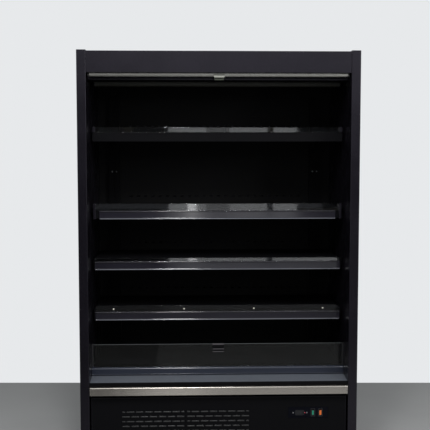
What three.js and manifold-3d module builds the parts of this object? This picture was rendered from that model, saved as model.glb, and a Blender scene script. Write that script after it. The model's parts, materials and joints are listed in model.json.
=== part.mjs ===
// Open multideck display fridge: a plug-in cabinet with four hung shelves, a night blind,
// a clear front riser, a stainless bumper and its refrigeration set in the base.
// Units are millimetres, +Z is up, -Y is the front. The origin is at the middle of the
// footprint, on the floor. Depths are measured back from the front edge of the end panels.
import * as THREE from 'three';
import { mergeVertices } from 'three/addons/utils/BufferGeometryUtils.js';
import Module from 'manifold-3d';

const wasm = await Module();
wasm.setup();

// ---------------------------------------------------------------- driving dimensions
// Cabinet body
const WIDTH = 1250; // across the outer faces of the end panels
const HEIGHT = 1925; // floor to the top of the end panels
const BODY_DEPTH = 700; // front edge of the end panels to the rear face
const END_PANEL = 41; // insulated end panel thickness
const END_PANEL_RADIUS = 3; // rounded vertical edges of an end panel
const BACK_PANEL = 50; // insulated back panel thickness
const ROOF_PANEL = 60; // insulated roof panel thickness
const FIT = 0.3; // gap left between two faces that meet
const SHEET = 2; // folded sheet metal
const FOOT_HEIGHT = 40; // floor to the underside of the base frame

// Canopy
const CANOPY_DROP = 4; // the canopy top lies this far below the end panel tops
const FASCIA_HEIGHT = 94;
const FASCIA_SETBACK = 3; // fascia face behind the end panels' front edges
const FASCIA_RETURN = 15; // flange turned back along the fascia's lower edge
const BLIND_HOUSING = 89; // fascia face to the rear leg of the blind housing
const CEILING_BELOW_FASCIA = 27; // fascia's lower edge to the ceiling panel's underside
const HONEYCOMB_DEPTH = 62;
const HONEYCOMB_HEIGHT = 22;
const HONEYCOMB_PITCH = 58;
const HONEYCOMB_WALL = 4;
const LAMP_DEPTH = 30;
const LAMP_HEIGHT = 20;
const LAMP_SETBACK = 225; // lamp housing behind the end panels' front edges
const LAMP_END_GAP = 11.5; // to the end panel's inner face
const LAMP_CHAMFER = 7;

// Air duct and shelf uprights at the rear
const PLENUM = 50; // air space between the duct panel and the back panel
const UPRIGHT_WIDTH = 54;
const UPRIGHT_DEPTH = 20;
const UPRIGHT_INSET = 77; // upright's centre line from the end panel's inner face
const SLOT_PITCH = 39.3;
const SLOT_HEIGHT = 14;
const SLOT_WIDTH = 5;
const FIRST_SLOT_Z = 534; // lower edge of the lowest slot
const UPRIGHT_END = 25; // metal left beyond the first and the last slot
const VENT_PITCH = 37; // cold air holes in the duct panel
const VENT_WIDTH = 16;
const VENT_HEIGHT = 7;
const VENT_ABOVE_SHELF = 32; // row of holes above each shelf's top face
const VENT_MARGIN = 150; // first hole from the end panel's inner face

// Shelves, from the top one down
const RISER_1_HEIGHT = 22;
const RISER_2_HEIGHT = 25;
const RISER_3_HEIGHT = 9;
const RISER_4_HEIGHT = 21;
const STRIP_2_MARGIN = 28; // shelf's end to its ticket strip's end
const STRIP_MARGIN = 5;
// The slot that each shelf hangs in, its riser's height and its ticket strip's margin
const SHELVES = [
  { slot: 26, riser: RISER_1_HEIGHT },
  { slot: 17, riser: RISER_2_HEIGHT, stripMargin: STRIP_2_MARGIN },
  { slot: 11, riser: RISER_3_HEIGHT, stripMargin: STRIP_MARGIN },
  { slot: 5, riser: RISER_4_HEIGHT, stripMargin: STRIP_MARGIN },
];
const SHELF_END_GAP = 9; // to the end panel's inner face
const SHELF_FRONT = 171.3; // depth of a shelf's front wall
const SHELF_REAR_GAP = 5; // shelf's rear edge to the upright's face
const SHELF_LIP = 42; // front wall below the top face
const SHELF_UPSTAND = 7; // front wall above the top face
const SHELF_REAR_LIP = 18;
const BRACKET_THICKNESS = 3;
const BRACKET_NOSE = 12; // bracket's nose behind the shelf's front wall
const BRACKET_NOSE_HEIGHT = 16;
const BRACKET_TAIL_HEIGHT = 64;
const HOOK_HEIGHT = 9; // tab that passes through a slot
const HOOK_DROP = 8; // nose of the hook below the slot's lower edge
const HOOK_REACH = 5; // hook's rear edge behind the upright's front wall
const HOOK_PLAY = 0.5; // hook's front edge behind that wall, at the slot
const HOOK_NOSE_SETBACK = 1.7; // and further back at the nose, so that the hook can turn out
const RISER_THICKNESS = 3;
const RISER_MARGIN = 8; // shelf's end to the riser's end
const STRIP_HEIGHT = 39;
const STRIP_DROP = 7; // strip's upper edge below the shelf's top face
const STRIP_DEPTH = 6;
const STRIP_BEAD = 5; // height of the beads along a ticket strip's edges
const STRIP_WEB = 2;

// Night blind
const BAR_END_GAP = 5; // to the end panel's inner face
const BAR_DEPTH = 26;
const BAR_HEIGHT = 16;
const BAR_RADIUS = 5;
const BAR_SETBACK = 26; // bar's front face behind the end panels' front edges
const BAR_GAP = 1; // below the fascia
const GRIP_WIDTH = 58;
const GRIP_PLATE = 3.4;
const GRIP_RIM = 4;
const GRIP_DISH = 1.8;
const TONGUE_WIDTH = 44;
const TONGUE_DROP = 14; // below the bar
const TONGUE_THICKNESS = 4;
const TONGUE_RADIUS = 6;
const ROLLER_RADIUS = 21.2; // tube with the blind wound on it
const ROLLER_ABOVE_FASCIA = 45; // roller's axis above the fascia's lower edge
const ROLLER_PIN = 5;
const CLOTH_END_GAP = 14; // blind's cloth to the end panel's inner face
const FABRIC_THICKNESS = 1;

// Front: riser glass, its channel, the catch, the sill and the bumper
const SILL_Z = 446; // sill's top face under the glass channel
const SILL_FALL = 3.5; // the sill drops by this much towards the front
const SILL_SETBACK = 4;
const SILL_FLANGE_END = 384; // lower end of the sill's front flange
const CHANNEL_SETBACK = 120;
const CHANNEL_DEPTH = 27;
const CHANNEL_HEIGHT = 37;
const CHANNEL_NOSE = 9; // bullnose along the channel's front
const CHANNEL_POST = 7; // post at each end of the channel
const GLASS_THICKNESS = 4;
const GLASS_TOP = 590;
const GLASS_BITE = 20; // glass held inside the channel
const CATCH_WIDTH = 56;
const CATCH_BELOW_GLASS = 36; // glass edge to the catch's lower end
const CATCH_DEPTH = 17.7;
const CATCH_WALL = 3;
const CATCH_POCKET_DEPTH = 16;
const CATCH_CAP = 2;
const CATCH_WINDOW = 9; // recess across the catch's face, under its pocket
const BUMPER_PROUD = 20; // in front of the end panels
const BUMPER_Z = 391;
const BUMPER_HEIGHT = 37;
const BUMPER_RADIUS = 8;
const BUMPER_END_GAP = 3;

// Base: insulated well, deck, return grille and base frame
const WELL_UNDERSIDE = 345;
const WELL_WALL = 42;
const WELL_FLOOR = 40;
const WELL_SETBACK = 110;
const DRAIN_RADIUS = 14;
const DECK_Z = 468;
const DECK_FRONT = 207;
const DECK_LEDGE = 20; // bearing under the deck's front and rear edges
const DECK_RIB = 16;
const DECK_RIB_GAP = 4; // rib to the bearing beside it
const DECK_SIDE_GAP = 1;
const DECK_NOTCH_GAP = 2; // around the uprights, so that the deck can be lifted past them
const GRILLE_Z = 480;
const GRILLE_SLOT_PITCH = 58;
const GRILLE_SLOT_WIDTH = 46;
const GRILLE_SLOT_DEPTH = 34;
const BASE_FLOOR = 3;
const BASE_WALL = 3;
const BASE_FRONT = 20; // kick flange behind the end panels' front edges
const KICK_TOP = 91.7;
const POST = 40; // base frame's corner posts
const REAR_VENT_ROWS = 3;
const REAR_VENT_COLUMNS = 8;
const REAR_VENT_WIDTH = 62;
const REAR_VENT_HEIGHT = 9;
const REAR_VENT_PITCH_X = 84;
const REAR_VENT_PITCH_Z = 26;
const REAR_VENT_Z = 210; // middle of the lowest row

// Lower front panel and its louvres
const LOWER_PANEL_END_GAP = 8; // to the end panel's inner face
const LOWER_PANEL_TOP = 374;
const LOWER_PANEL_SETBACK = 8;
const LOWER_PANEL_RETURN = 18;
const LOUVRE_ROWS = 8;
const LOUVRE_GROUPS = 2;
const LOUVRES_IN_GROUP = 7;
const LOUVRE_WIDTH = 36;
const LOUVRE_HEIGHT = 5;
const LOUVRE_PITCH_X = 41;
const LOUVRE_PITCH_Z = 22;
const LOUVRE_GROUP_GAP = 6; // extra space between the two groups
const LOUVRE_TOP = 308; // middle of the top row
const LOUVRE_INSET = 145; // first louvre from the end panel's inner face

// Controls, set in the lower front panel's cut-out
const CONTROL_WIDTH = 182;
const CONTROL_HEIGHT = 50;
const CONTROL_Z = 298; // middle height
const CONTROL_INSET = 89; // plate's edge from the right end panel's inner face
const CONTROL_GAP = 1; // around the plate, in the lower panel's cut-out
const CONTROL_BOX_DEPTH = 60;
const CONTROL_BOX_MARGIN = 5;
const CONTROLLER_WIDTH = 80;
const CONTROLLER_HEIGHT = 33;
const CONTROLLER_BEZEL = 1.5;
const CONTROLLER_BODY = 45;
const CONTROLLER_EDGE = 2; // the bezel overlaps the body by this much all round
const CONTROLLER_LEFT = 14; // from the plate's left edge
const BUTTON_RADIUS = 3.5;
const BUTTON_INSET = 9; // button's centre from the controller's end
const BUTTON_PROUD = 1.2;
const BUTTON_LENGTH = 8;
const BUTTON_TRAVEL = 1;
const ROCKER_WIDTH = 14;
const ROCKER_HEIGHT = 27;
const ROCKER_GAP = 0.5;
const ROCKER_BODY = 9;
const ROCKER_PROUD = 1;
const ROCKER_TILT = 7; // degrees either side of level
const ROCKER_LEFTS = [106, 140]; // from the plate's left edge
const ROCKER_NAMES = ['switch_green', 'switch_amber'];

// Refrigeration
const CONDENSER_WIDTH = 540;
const CONDENSER_HEIGHT = 250;
const CONDENSER_DEPTH = 44;
const CONDENSER_SETBACK = 52;
const CONDENSER_LEFT = 155; // from the left end panel's inner face
const SHROUD_DEPTH = 36;
const CONDENSER_FAN_RADIUS = 96;
const FAN_TIP_GAP = 6;
const FAN_HUB_RADIUS = 26;
const FAN_HUB_LENGTH = 22;
const FAN_BLADES = 5;
const FAN_BLADE_CHORD = 33;
const FAN_BLADE_THICKNESS = 1.6;
const FAN_BLADE_PITCH = 28; // degrees
const MOTOR_RADIUS = 34;
const MOTOR_LENGTH = 46;
const SPOKE = 6;
const COMPRESSOR_RADIUS = 82;
const COMPRESSOR_HEIGHT = 205;
const COMPRESSOR_FROM_RIGHT = 260; // axis from the right end panel's inner face
const COMPRESSOR_SETBACK = 430;
const COMPRESSOR_PLATE = 4;
const COMPRESSOR_PLATE_WIDTH = 210;
const COMPRESSOR_PLATE_DEPTH = 170;
const COMPRESSOR_DOME = 37; // rise of the can's domed ends
const COMPRESSOR_LIFT = 8; // can's lowest point above its plate
const COMPRESSOR_SKIRT_RADIUS = 49;
const TERMINAL_BOX = 56;
const TERMINAL_PROUD = 22;
const EVAPORATOR_END_GAP = 84; // fins to the end panel's inner face
const EVAPORATOR_DEPTH = 150;
const EVAPORATOR_HEADROOM = 3; // below the deck's ribs
const EVAPORATOR_FAN_RADIUS = 74;
const EVAPORATOR_FIN_WALL = 3;
const EVAPORATOR_MOTOR_LENGTH = 14;
const INLET_WIDTH = 50;
const INLET_HEIGHT = 30;
const INLET_FLANGE = 5;
const INLET_BODY = 34;
const INLET_RECESS = 18;
const INLET_WALL = 5;
const INLET_FROM_RIGHT = 110; // inlet's centre from the right end panel's inner face
const INLET_Z = 130;

// Levelling feet
const FOOT_PAD_RADIUS = 26;
const FOOT_PAD_HEIGHT = 10;
const FOOT_STEM_RADIUS = 6;
const FOOT_STEM_TOP = 62;
const FOOT_INSET_X = 55; // foot's axis from the end panel's inner face
const FOOT_INSET_FRONT = 70;
const FOOT_INSET_REAR = 60;

// ---------------------------------------------------------------- derived places
const FRONT = -(BODY_DEPTH + BUMPER_PROUD) / 2 + BUMPER_PROUD; // end panels' front edges
const REAR = FRONT + BODY_DEPTH;
const INNER = WIDTH / 2 - END_PANEL; // inner face of an end panel
const SPAN = INNER - FIT; // half width of what fits between the end panels
const BODY_TOP = HEIGHT - CANOPY_DROP;
const FASCIA_BOTTOM = BODY_TOP - FASCIA_HEIGHT;
const CEILING = FASCIA_BOTTOM - CEILING_BELOW_FASCIA;
const HOUSING_REAR = FRONT + FASCIA_SETBACK + BLIND_HOUSING;
const BACK_FACE = REAR - BACK_PANEL; // inner face of the back panel
const DUCT_REAR = BACK_FACE - PLENUM;
const DUCT_FRONT = DUCT_REAR - SHEET;
const UPRIGHT_FRONT = DUCT_FRONT - FIT - UPRIGHT_DEPTH;
const UPRIGHT_X = INNER - UPRIGHT_INSET;
const BRACKET_TOP = HOOK_HEIGHT + FIT; // above the slot's lower edge
const SHELF_TOP = BRACKET_TOP + FIT + SHEET; // top face above the slot's lower edge
const SHELF_HALF = INNER - SHELF_END_GAP;
const WELL_INSIDE = WELL_UNDERSIDE + WELL_FLOOR;
const WELL_TOP = SILL_Z - SHEET - 2 * FIT;
const BASE_TOP = FOOT_HEIGHT + BASE_FLOOR;
const slotZ = (slot) => FIRST_SLOT_Z + slot * SLOT_PITCH;

// ---------------------------------------------------------------- shapes
const TO_X = new THREE.Matrix4().makeBasis(
  new THREE.Vector3(0, 1, 0), new THREE.Vector3(0, 0, 1), new THREE.Vector3(1, 0, 0));
const TO_Y = new THREE.Matrix4().makeBasis(
  new THREE.Vector3(1, 0, 0), new THREE.Vector3(0, 0, 1), new THREE.Vector3(0, -1, 0));

function block(x0, x1, y0, y1, z0, z1) {
  const shape = new THREE.BoxGeometry(x1 - x0, y1 - y0, z1 - z0);
  return shape.translate((x0 + x1) / 2, (y0 + y1) / 2, (z0 + z1) / 2);
}

function prism(outline, length) {
  const shape = outline instanceof THREE.Shape
    ? outline : new THREE.Shape(outline.map(([u, v]) => new THREE.Vector2(u, v)));
  return new THREE.ExtrudeGeometry(shape, { depth: length, bevelEnabled: false, curveSegments: 4 });
}

// A [y, z] outline drawn along X, an [x, z] outline along Y and an [x, y] outline along Z.
const alongX = (outline, x0, x1) => prism(outline, x1 - x0).applyMatrix4(TO_X).translate(x0, 0, 0);
const alongY = (outline, y0, y1) => prism(outline, y1 - y0).applyMatrix4(TO_Y).translate(0, y1, 0);
const alongZ = (outline, z0, z1) => prism(outline, z1 - z0).translate(0, 0, z0);

// A rectangle whose corners are rounded by the radii [low-low, high-low, high-high, low-high].
function rounded(u0, u1, v0, v1, radii) {
  const [a, b, c, d] = radii;
  const shape = new THREE.Shape();
  shape.moveTo(u0 + a, v0);
  shape.lineTo(u1 - b, v0);
  if (b) shape.absarc(u1 - b, v0 + b, b, -Math.PI / 2, 0, false);
  shape.lineTo(u1, v1 - c);
  if (c) shape.absarc(u1 - c, v1 - c, c, 0, Math.PI / 2, false);
  shape.lineTo(u0 + d, v1);
  if (d) shape.absarc(u0 + d, v1 - d, d, Math.PI / 2, Math.PI, false);
  shape.lineTo(u0, v0 + a);
  if (a) shape.absarc(u0 + a, v0 + a, a, Math.PI, 1.5 * Math.PI, false);
  return shape;
}

function drum(radius, length, sides = 24) {
  return new THREE.CylinderGeometry(radius, radius, length, sides);
}
const drumX = (radius, x0, x1, y, z, sides) => (
  drum(radius, x1 - x0, sides).rotateZ(Math.PI / 2).translate((x0 + x1) / 2, y, z));
const drumY = (radius, y0, y1, x, z, sides) => (
  drum(radius, y1 - y0, sides).translate(x, (y0 + y1) / 2, z));
const drumZ = (radius, z0, z1, x, y, sides) => (
  drum(radius, z1 - z0, sides).rotateX(Math.PI / 2).translate(x, y, (z0 + z1) / 2));

// ---------------------------------------------------------------- joining and cutting
function toSolid(geometry) {
  const bare = geometry.clone();
  bare.deleteAttribute('normal');
  bare.deleteAttribute('uv');
  const merged = mergeVertices(bare, 1e-4);
  return new wasm.Manifold(new wasm.Mesh({
    numProp: 3,
    vertProperties: new Float32Array(merged.attributes.position.array),
    triVerts: new Uint32Array(merged.index.array),
  }));
}

function fromSolid(solid) {
  const mesh = solid.getMesh();
  const geometry = new THREE.BufferGeometry();
  geometry.setAttribute('position', new THREE.BufferAttribute(new Float32Array(mesh.vertProperties), 3));
  geometry.setIndex(new THREE.BufferAttribute(new Uint32Array(mesh.triVerts), 1));
  geometry.computeVertexNormals();
  return geometry;
}

const sum = (shapes) => shapes.map(toSolid).reduce((whole, piece) => whole.add(piece));
const join = (...shapes) => fromSolid(sum(shapes));
const cut = (shape, tools) => fromSolid(toSolid(shape).subtract(sum(tools)));
const common = (a, b) => fromSolid(toSolid(a).intersect(toSolid(b)));

// ---------------------------------------------------------------- finishes
const finish = (color, roughness, metalness) => ({ color, roughness, metalness });
const BLACK_STEEL = finish(0x19191c, 0.45, 0.2);
const INNER_STEEL = finish(0x0d0d0f, 0.5, 0.2);
const GREY_SILL = finish(0x4d5056, 0.4, 0.3);
const STAINLESS = finish(0x8c8780, 0.3, 1);
const ALUMINIUM = finish(0x96958f, 0.35, 1);
const ZINC = finish(0x8b8f92, 0.45, 1);
const CLEAR = finish(0x202225, 0.05, 0);
const STRIP_PLASTIC = finish(0x2b2c33, 0.2, 0);
const BLACK_PLASTIC = finish(0x101011, 0.5, 0);
const GREY_PLASTIC = finish(0x8d8d88, 0.5, 0);
const LAMP_PLASTIC = finish(0x1b1b17, 0.4, 0);
const BLIND_CLOTH = finish(0xb9bbbb, 0.8, 0);
const COPPER_BROWN = finish(0x6a625c, 0.5, 0.7);
const COMPRESSOR_BLACK = finish(0x0b0b0c, 0.4, 0.3);
const GREEN = finish(0x17a07f, 0.3, 0);
const AMBER = finish(0xe07a28, 0.3, 0);

function piece(name, geometry, look) {
  const mesh = new THREE.Mesh(geometry, new THREE.MeshStandardMaterial({ ...look, flatShading: true }));
  mesh.name = name;
  return mesh;
}

function assembly(...members) {
  const group = new THREE.Group();
  group.add(...members);
  return group;
}

// ---------------------------------------------------------------- cabinet shell
function endPanels() {
  const r = END_PANEL_RADIUS;
  const half = END_PANEL / 2;
  const plan = rounded(-half, half, FRONT, REAR, [r, r, r, r]);
  const shape = alongZ(plan, FOOT_HEIGHT, HEIGHT);
  const left = piece('end_panel_left', shape, BLACK_STEEL);
  const right = piece('end_panel_right', shape, BLACK_STEEL);
  left.position.x = -INNER - half;
  right.position.x = INNER + half;
  return assembly(left, right);
}

function backPanel() {
  const shape = block(-SPAN, SPAN, BACK_FACE, REAR, WELL_UNDERSIDE, BODY_TOP);
  return piece('back_panel', shape, BLACK_STEEL);
}

function roofPanel() {
  const low = BODY_TOP - ROOF_PANEL;
  const shape = block(-SPAN, SPAN, HOUSING_REAR + FIT, BACK_FACE - FIT, low, BODY_TOP);
  return piece('roof_panel', shape, BLACK_STEEL);
}

// ---------------------------------------------------------------- canopy
// The fascia folds over the blind's housing and down behind it.
function canopyFascia() {
  const face = FRONT + FASCIA_SETBACK;
  const rear = HOUSING_REAR;
  const low = FASCIA_BOTTOM;
  const shape = alongX([
    [face, low], [face + FASCIA_RETURN, low], [face + FASCIA_RETURN, low + SHEET],
    [face + SHEET, low + SHEET], [face + SHEET, BODY_TOP - SHEET], [rear - SHEET, BODY_TOP - SHEET],
    [rear - SHEET, CEILING], [rear, CEILING], [rear, BODY_TOP], [face, BODY_TOP],
  ], -SPAN, SPAN);
  return piece('canopy_fascia', shape, BLACK_STEEL);
}

// Cold air leaves through this grid and falls as a curtain in front of the shelves.
function airHoneycomb() {
  const y0 = HOUSING_REAR + FIT;
  const y1 = y0 + HONEYCOMB_DEPTH;
  const z0 = CEILING;
  const z1 = z0 + HONEYCOMB_HEIGHT;
  const cells = [];
  const count = Math.floor((2 * SPAN - HONEYCOMB_WALL) / HONEYCOMB_PITCH);
  const start = -(count * HONEYCOMB_PITCH) / 2 + HONEYCOMB_WALL / 2;
  for (let i = 0; i < count; i += 1) {
    const x = start + i * HONEYCOMB_PITCH;
    const x1 = x + HONEYCOMB_PITCH - HONEYCOMB_WALL;
    cells.push(block(x, x1, y0 + HONEYCOMB_WALL, y1 - HONEYCOMB_WALL, z0 - 1, z1 + 1));
  }
  return piece('air_honeycomb', cut(block(-SPAN, SPAN, y0, y1, z0, z1), cells), BLACK_PLASTIC);
}

// Ceiling of the display space; its front lip carries the honeycomb's rear edge.
function ceilingPanel() {
  const front = HOUSING_REAR + 2 * FIT + HONEYCOMB_DEPTH;
  const rear = DUCT_FRONT - FIT;
  const shape = alongX([
    [front, CEILING], [rear, CEILING], [rear, CEILING + SHEET], [front + SHEET, CEILING + SHEET],
    [front + SHEET, CEILING + HONEYCOMB_HEIGHT], [front, CEILING + HONEYCOMB_HEIGHT],
  ], -SPAN, SPAN);
  return piece('ceiling_panel', shape, INNER_STEEL);
}

function canopyLamp() {
  const y0 = FRONT + LAMP_SETBACK;
  const y1 = y0 + LAMP_DEPTH;
  const top = CEILING - FIT;
  const low = top - LAMP_HEIGHT;
  const shape = alongX([
    [y0, top], [y0, low + LAMP_CHAMFER], [y0 + LAMP_CHAMFER, low], [y1 - LAMP_CHAMFER, low],
    [y1, low + LAMP_CHAMFER], [y1, top],
  ], -INNER + LAMP_END_GAP, INNER - LAMP_END_GAP);
  return piece('canopy_lamp', shape, LAMP_PLASTIC);
}

// ---------------------------------------------------------------- duct panel and uprights
// The duct panel's foot turns forward into a ledge that carries the deck's rear edge.
function rearDuctPanel() {
  const foot = DECK_Z - SHEET - FIT - SHEET;
  const sheet = alongX([
    [DUCT_FRONT - DECK_LEDGE, foot], [DUCT_REAR, foot], [DUCT_REAR, CEILING - FIT],
    [DUCT_FRONT, CEILING - FIT], [DUCT_FRONT, foot + SHEET], [DUCT_FRONT - DECK_LEDGE, foot + SHEET],
  ], -SPAN, SPAN);
  const first = -INNER + VENT_MARGIN;
  const count = Math.floor(-2 * first / VENT_PITCH) + 1;
  const start = -((count - 1) * VENT_PITCH) / 2;
  const vents = [];
  for (const { slot } of SHELVES) {
    const z = slotZ(slot) + SHELF_TOP + VENT_ABOVE_SHELF;
    for (let i = 0; i < count; i += 1) {
      const x = start + i * VENT_PITCH - VENT_WIDTH / 2;
      vents.push(block(x, x + VENT_WIDTH, DUCT_FRONT - 1, DUCT_REAR + 1, z, z + VENT_HEIGHT));
    }
  }
  return piece('rear_duct_panel', cut(sheet, vents), INNER_STEEL);
}

// Folded channel with a row of hook slots down its front.
function uprightShape() {
  const half = UPRIGHT_WIDTH / 2;
  const y0 = UPRIGHT_FRONT;
  const y1 = UPRIGHT_FRONT + UPRIGHT_DEPTH;
  const count = Math.floor((CEILING - 2 * UPRIGHT_END - FIRST_SLOT_Z) / SLOT_PITCH) + 1;
  const z0 = FIRST_SLOT_Z - UPRIGHT_END;
  const z1 = slotZ(count - 1) + SLOT_HEIGHT + UPRIGHT_END;
  const channel = alongZ([
    [-half, y0], [half, y0], [half, y1], [half - SHEET, y1], [half - SHEET, y0 + SHEET],
    [-half + SHEET, y0 + SHEET], [-half + SHEET, y1], [-half, y1],
  ], z0, z1);
  const slots = [];
  for (let i = 0; i < count; i += 1) {
    const z = slotZ(i);
    slots.push(block(-SLOT_WIDTH / 2, SLOT_WIDTH / 2, y0 - 1, y0 + SHEET + 1, z, z + SLOT_HEIGHT));
  }
  return cut(channel, slots);
}

function uprights() {
  const shape = uprightShape();
  const left = piece('upright_left', shape, INNER_STEEL);
  const right = piece('upright_right', shape, INNER_STEEL);
  left.position.x = -UPRIGHT_X;
  right.position.x = UPRIGHT_X;
  return assembly(left, right);
}

// ---------------------------------------------------------------- shelves
// Heights here count from the lower edge of the slot that the shelf hangs in.
function trayShape() {
  const y0 = FRONT + SHELF_FRONT;
  const y1 = UPRIGHT_FRONT - SHELF_REAR_GAP;
  const top = SHELF_TOP;
  return alongX([
    [y0, top - SHELF_LIP], [y0 + SHEET, top - SHELF_LIP], [y0 + SHEET, top - SHEET],
    [y1 - SHEET, top - SHEET], [y1 - SHEET, top - SHELF_REAR_LIP], [y1, top - SHELF_REAR_LIP],
    [y1, top], [y0 + SHEET, top], [y0 + SHEET, top + SHELF_UPSTAND], [y0, top + SHELF_UPSTAND],
  ], -SHELF_HALF, SHELF_HALF);
}

// A blade with a hook through the upper slot and a plain tab in the slot below.
// The notch at its rear top clears the shelf's rear lip.
function bracketShape() {
  const nose = FRONT + SHELF_FRONT + SHEET + BRACKET_NOSE;
  const back = UPRIGHT_FRONT - FIT;
  const inside = UPRIGHT_FRONT + SHEET;
  const tray = UPRIGHT_FRONT - SHELF_REAR_GAP;
  const notch = SHELF_TOP - SHELF_REAR_LIP - FIT;
  const top = BRACKET_TOP;
  const tab = HOOK_HEIGHT - SHEET;
  const tabLow = -SLOT_PITCH + (SLOT_HEIGHT - tab) / 2;
  return alongX([
    [nose, top], [nose, top - BRACKET_NOSE_HEIGHT], [back, top - BRACKET_TAIL_HEIGHT], [back, tabLow],
    [inside + SHEET / 2, tabLow], [inside + SHEET / 2, tabLow + tab], [back, tabLow + tab], [back, FIT],
    [inside + HOOK_PLAY, FIT], [inside + HOOK_PLAY + HOOK_NOSE_SETBACK, -HOOK_DROP],
    [inside + HOOK_REACH, -HOOK_DROP],
    [inside + HOOK_REACH, top], [tray + FIT, top], [tray + FIT, notch],
    [tray - SHEET - FIT, notch], [tray - SHEET - FIT, top],
  ], -BRACKET_THICKNESS / 2, BRACKET_THICKNESS / 2);
}

function riserShape(foot, height) {
  const face = FRONT + SHELF_FRONT - FIT;
  const half = SHELF_HALF - RISER_MARGIN;
  return block(-half, half, face - RISER_THICKNESS, face, foot + FIT, SHELF_TOP + FIT + height);
}

// Ticket strip: a web with a bead along its upper and lower edges.
function stripShape(margin) {
  const half = SHELF_HALF - margin;
  const back = FRONT + SHELF_FRONT - FIT;
  const face = back - STRIP_DEPTH;
  const web = back - STRIP_WEB;
  const top = SHELF_TOP - STRIP_DROP;
  const low = top - STRIP_HEIGHT;
  return alongX([
    [face, low], [back, low], [back, top], [face, top], [face, top - STRIP_BEAD],
    [web, top - STRIP_BEAD], [web, low + STRIP_BEAD], [face, low + STRIP_BEAD],
  ], -half, half);
}

function shelves() {
  const tray = trayShape();
  const bracket = bracketShape();
  return assembly(...SHELVES.map(({ slot, riser, stripMargin }, index) => {
    const name = `shelf_${index + 1}`;
    const left = piece(`${name}_bracket_left`, bracket, INNER_STEEL);
    const right = piece(`${name}_bracket_right`, bracket, INNER_STEEL);
    left.position.x = -UPRIGHT_X;
    right.position.x = UPRIGHT_X;
    const foot = stripMargin ? SHELF_TOP - STRIP_DROP : SHELF_TOP; // a riser stands on its ticket strip
    const shelf = assembly(
      piece(`${name}_tray`, tray, INNER_STEEL), left, right,
      piece(`${name}_riser`, riserShape(foot, riser), CLEAR));
    if (stripMargin) {
      shelf.add(piece(`${name}_ticket_strip`, stripShape(stripMargin), STRIP_PLASTIC));
    }
    shelf.position.z = slotZ(slot);
    return shelf;
  }));
}

// ---------------------------------------------------------------- night blind
const BAR_TOP = FASCIA_BOTTOM - BAR_GAP;
const BAR_FRONT = FRONT + BAR_SETBACK;
const BAR_MIDDLE = BAR_FRONT + BAR_DEPTH / 2;
const ROLLER_Y = BAR_MIDDLE + FABRIC_THICKNESS / 2 + FIT + ROLLER_RADIUS;
const ROLLER_Z = FASCIA_BOTTOM + ROLLER_ABOVE_FASCIA;

function blindBar() {
  const r = BAR_RADIUS;
  const section = rounded(BAR_FRONT, BAR_FRONT + BAR_DEPTH, BAR_TOP - BAR_HEIGHT, BAR_TOP, [r, 1, 1, r]);
  const half = INNER - BAR_END_GAP;
  return piece('blind_bar', alongX(section, -half, half), ALUMINIUM);
}

// The grip lies on the bar's face, reaches under it and ends in the tongue that the catch holds.
function blindGrip() {
  const back = BAR_FRONT - FIT;
  const face = back - GRIP_PLATE;
  const low = BAR_TOP - BAR_HEIGHT - FIT;
  const half = GRIP_WIDTH / 2;
  const inner = half - GRIP_RIM;
  const tongueHalf = TONGUE_WIDTH / 2;
  const r = TONGUE_RADIUS;
  const tongueLow = BAR_TOP - BAR_HEIGHT - TONGUE_DROP;
  const tongueFront = BAR_MIDDLE - TONGUE_THICKNESS / 2;
  const plate = block(-half, half, face, back, low - GRIP_PLATE, BAR_TOP - 1);
  const dishLow = low - GRIP_PLATE + GRIP_RIM;
  const dish = block(-inner, inner, face - 1, face + GRIP_DISH, dishLow, BAR_TOP - GRIP_RIM);
  const floor = block(-inner, inner, back - 1, BAR_MIDDLE + GRIP_PLATE, low - GRIP_PLATE, low);
  const tongue = alongY(rounded(-tongueHalf, tongueHalf, tongueLow, low - 1, [r, r, 0, 0]),
    tongueFront, tongueFront + TONGUE_THICKNESS);
  return piece('blind_grip', join(cut(plate, [dish]), floor, tongue), GREY_PLASTIC);
}

// The roller carries the wound blind; its end pins turn in the end panels.
function blindRoller() {
  const half = INNER - CLOTH_END_GAP;
  const tube = drumX(ROLLER_RADIUS, -half, half, ROLLER_Y, ROLLER_Z);
  const pins = drumX(ROLLER_PIN, -SPAN, SPAN, ROLLER_Y, ROLLER_Z, 12);
  return piece('blind_roller', join(tube, pins), BLIND_CLOTH);
}

// The short run of cloth between the roller and the bar, with the blind wound up.
function blindFabric() {
  const y = BAR_MIDDLE;
  const half = INNER - CLOTH_END_GAP;
  const t = FABRIC_THICKNESS / 2;
  const shape = block(-half, half, y - t, y + t, BAR_TOP + FIT, ROLLER_Z);
  return piece('blind_fabric', shape, BLIND_CLOTH);
}

// ---------------------------------------------------------------- front riser and sill
const CHANNEL_FRONT = FRONT + CHANNEL_SETBACK;
const CHANNEL_LOW = SILL_Z + FIT;
const CHANNEL_TOP = CHANNEL_LOW + CHANNEL_HEIGHT;
const GLASS_FRONT = CHANNEL_FRONT + (CHANNEL_DEPTH - GLASS_THICKNESS) / 2;
const GLASS_REAR = GLASS_FRONT + GLASS_THICKNESS;

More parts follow.
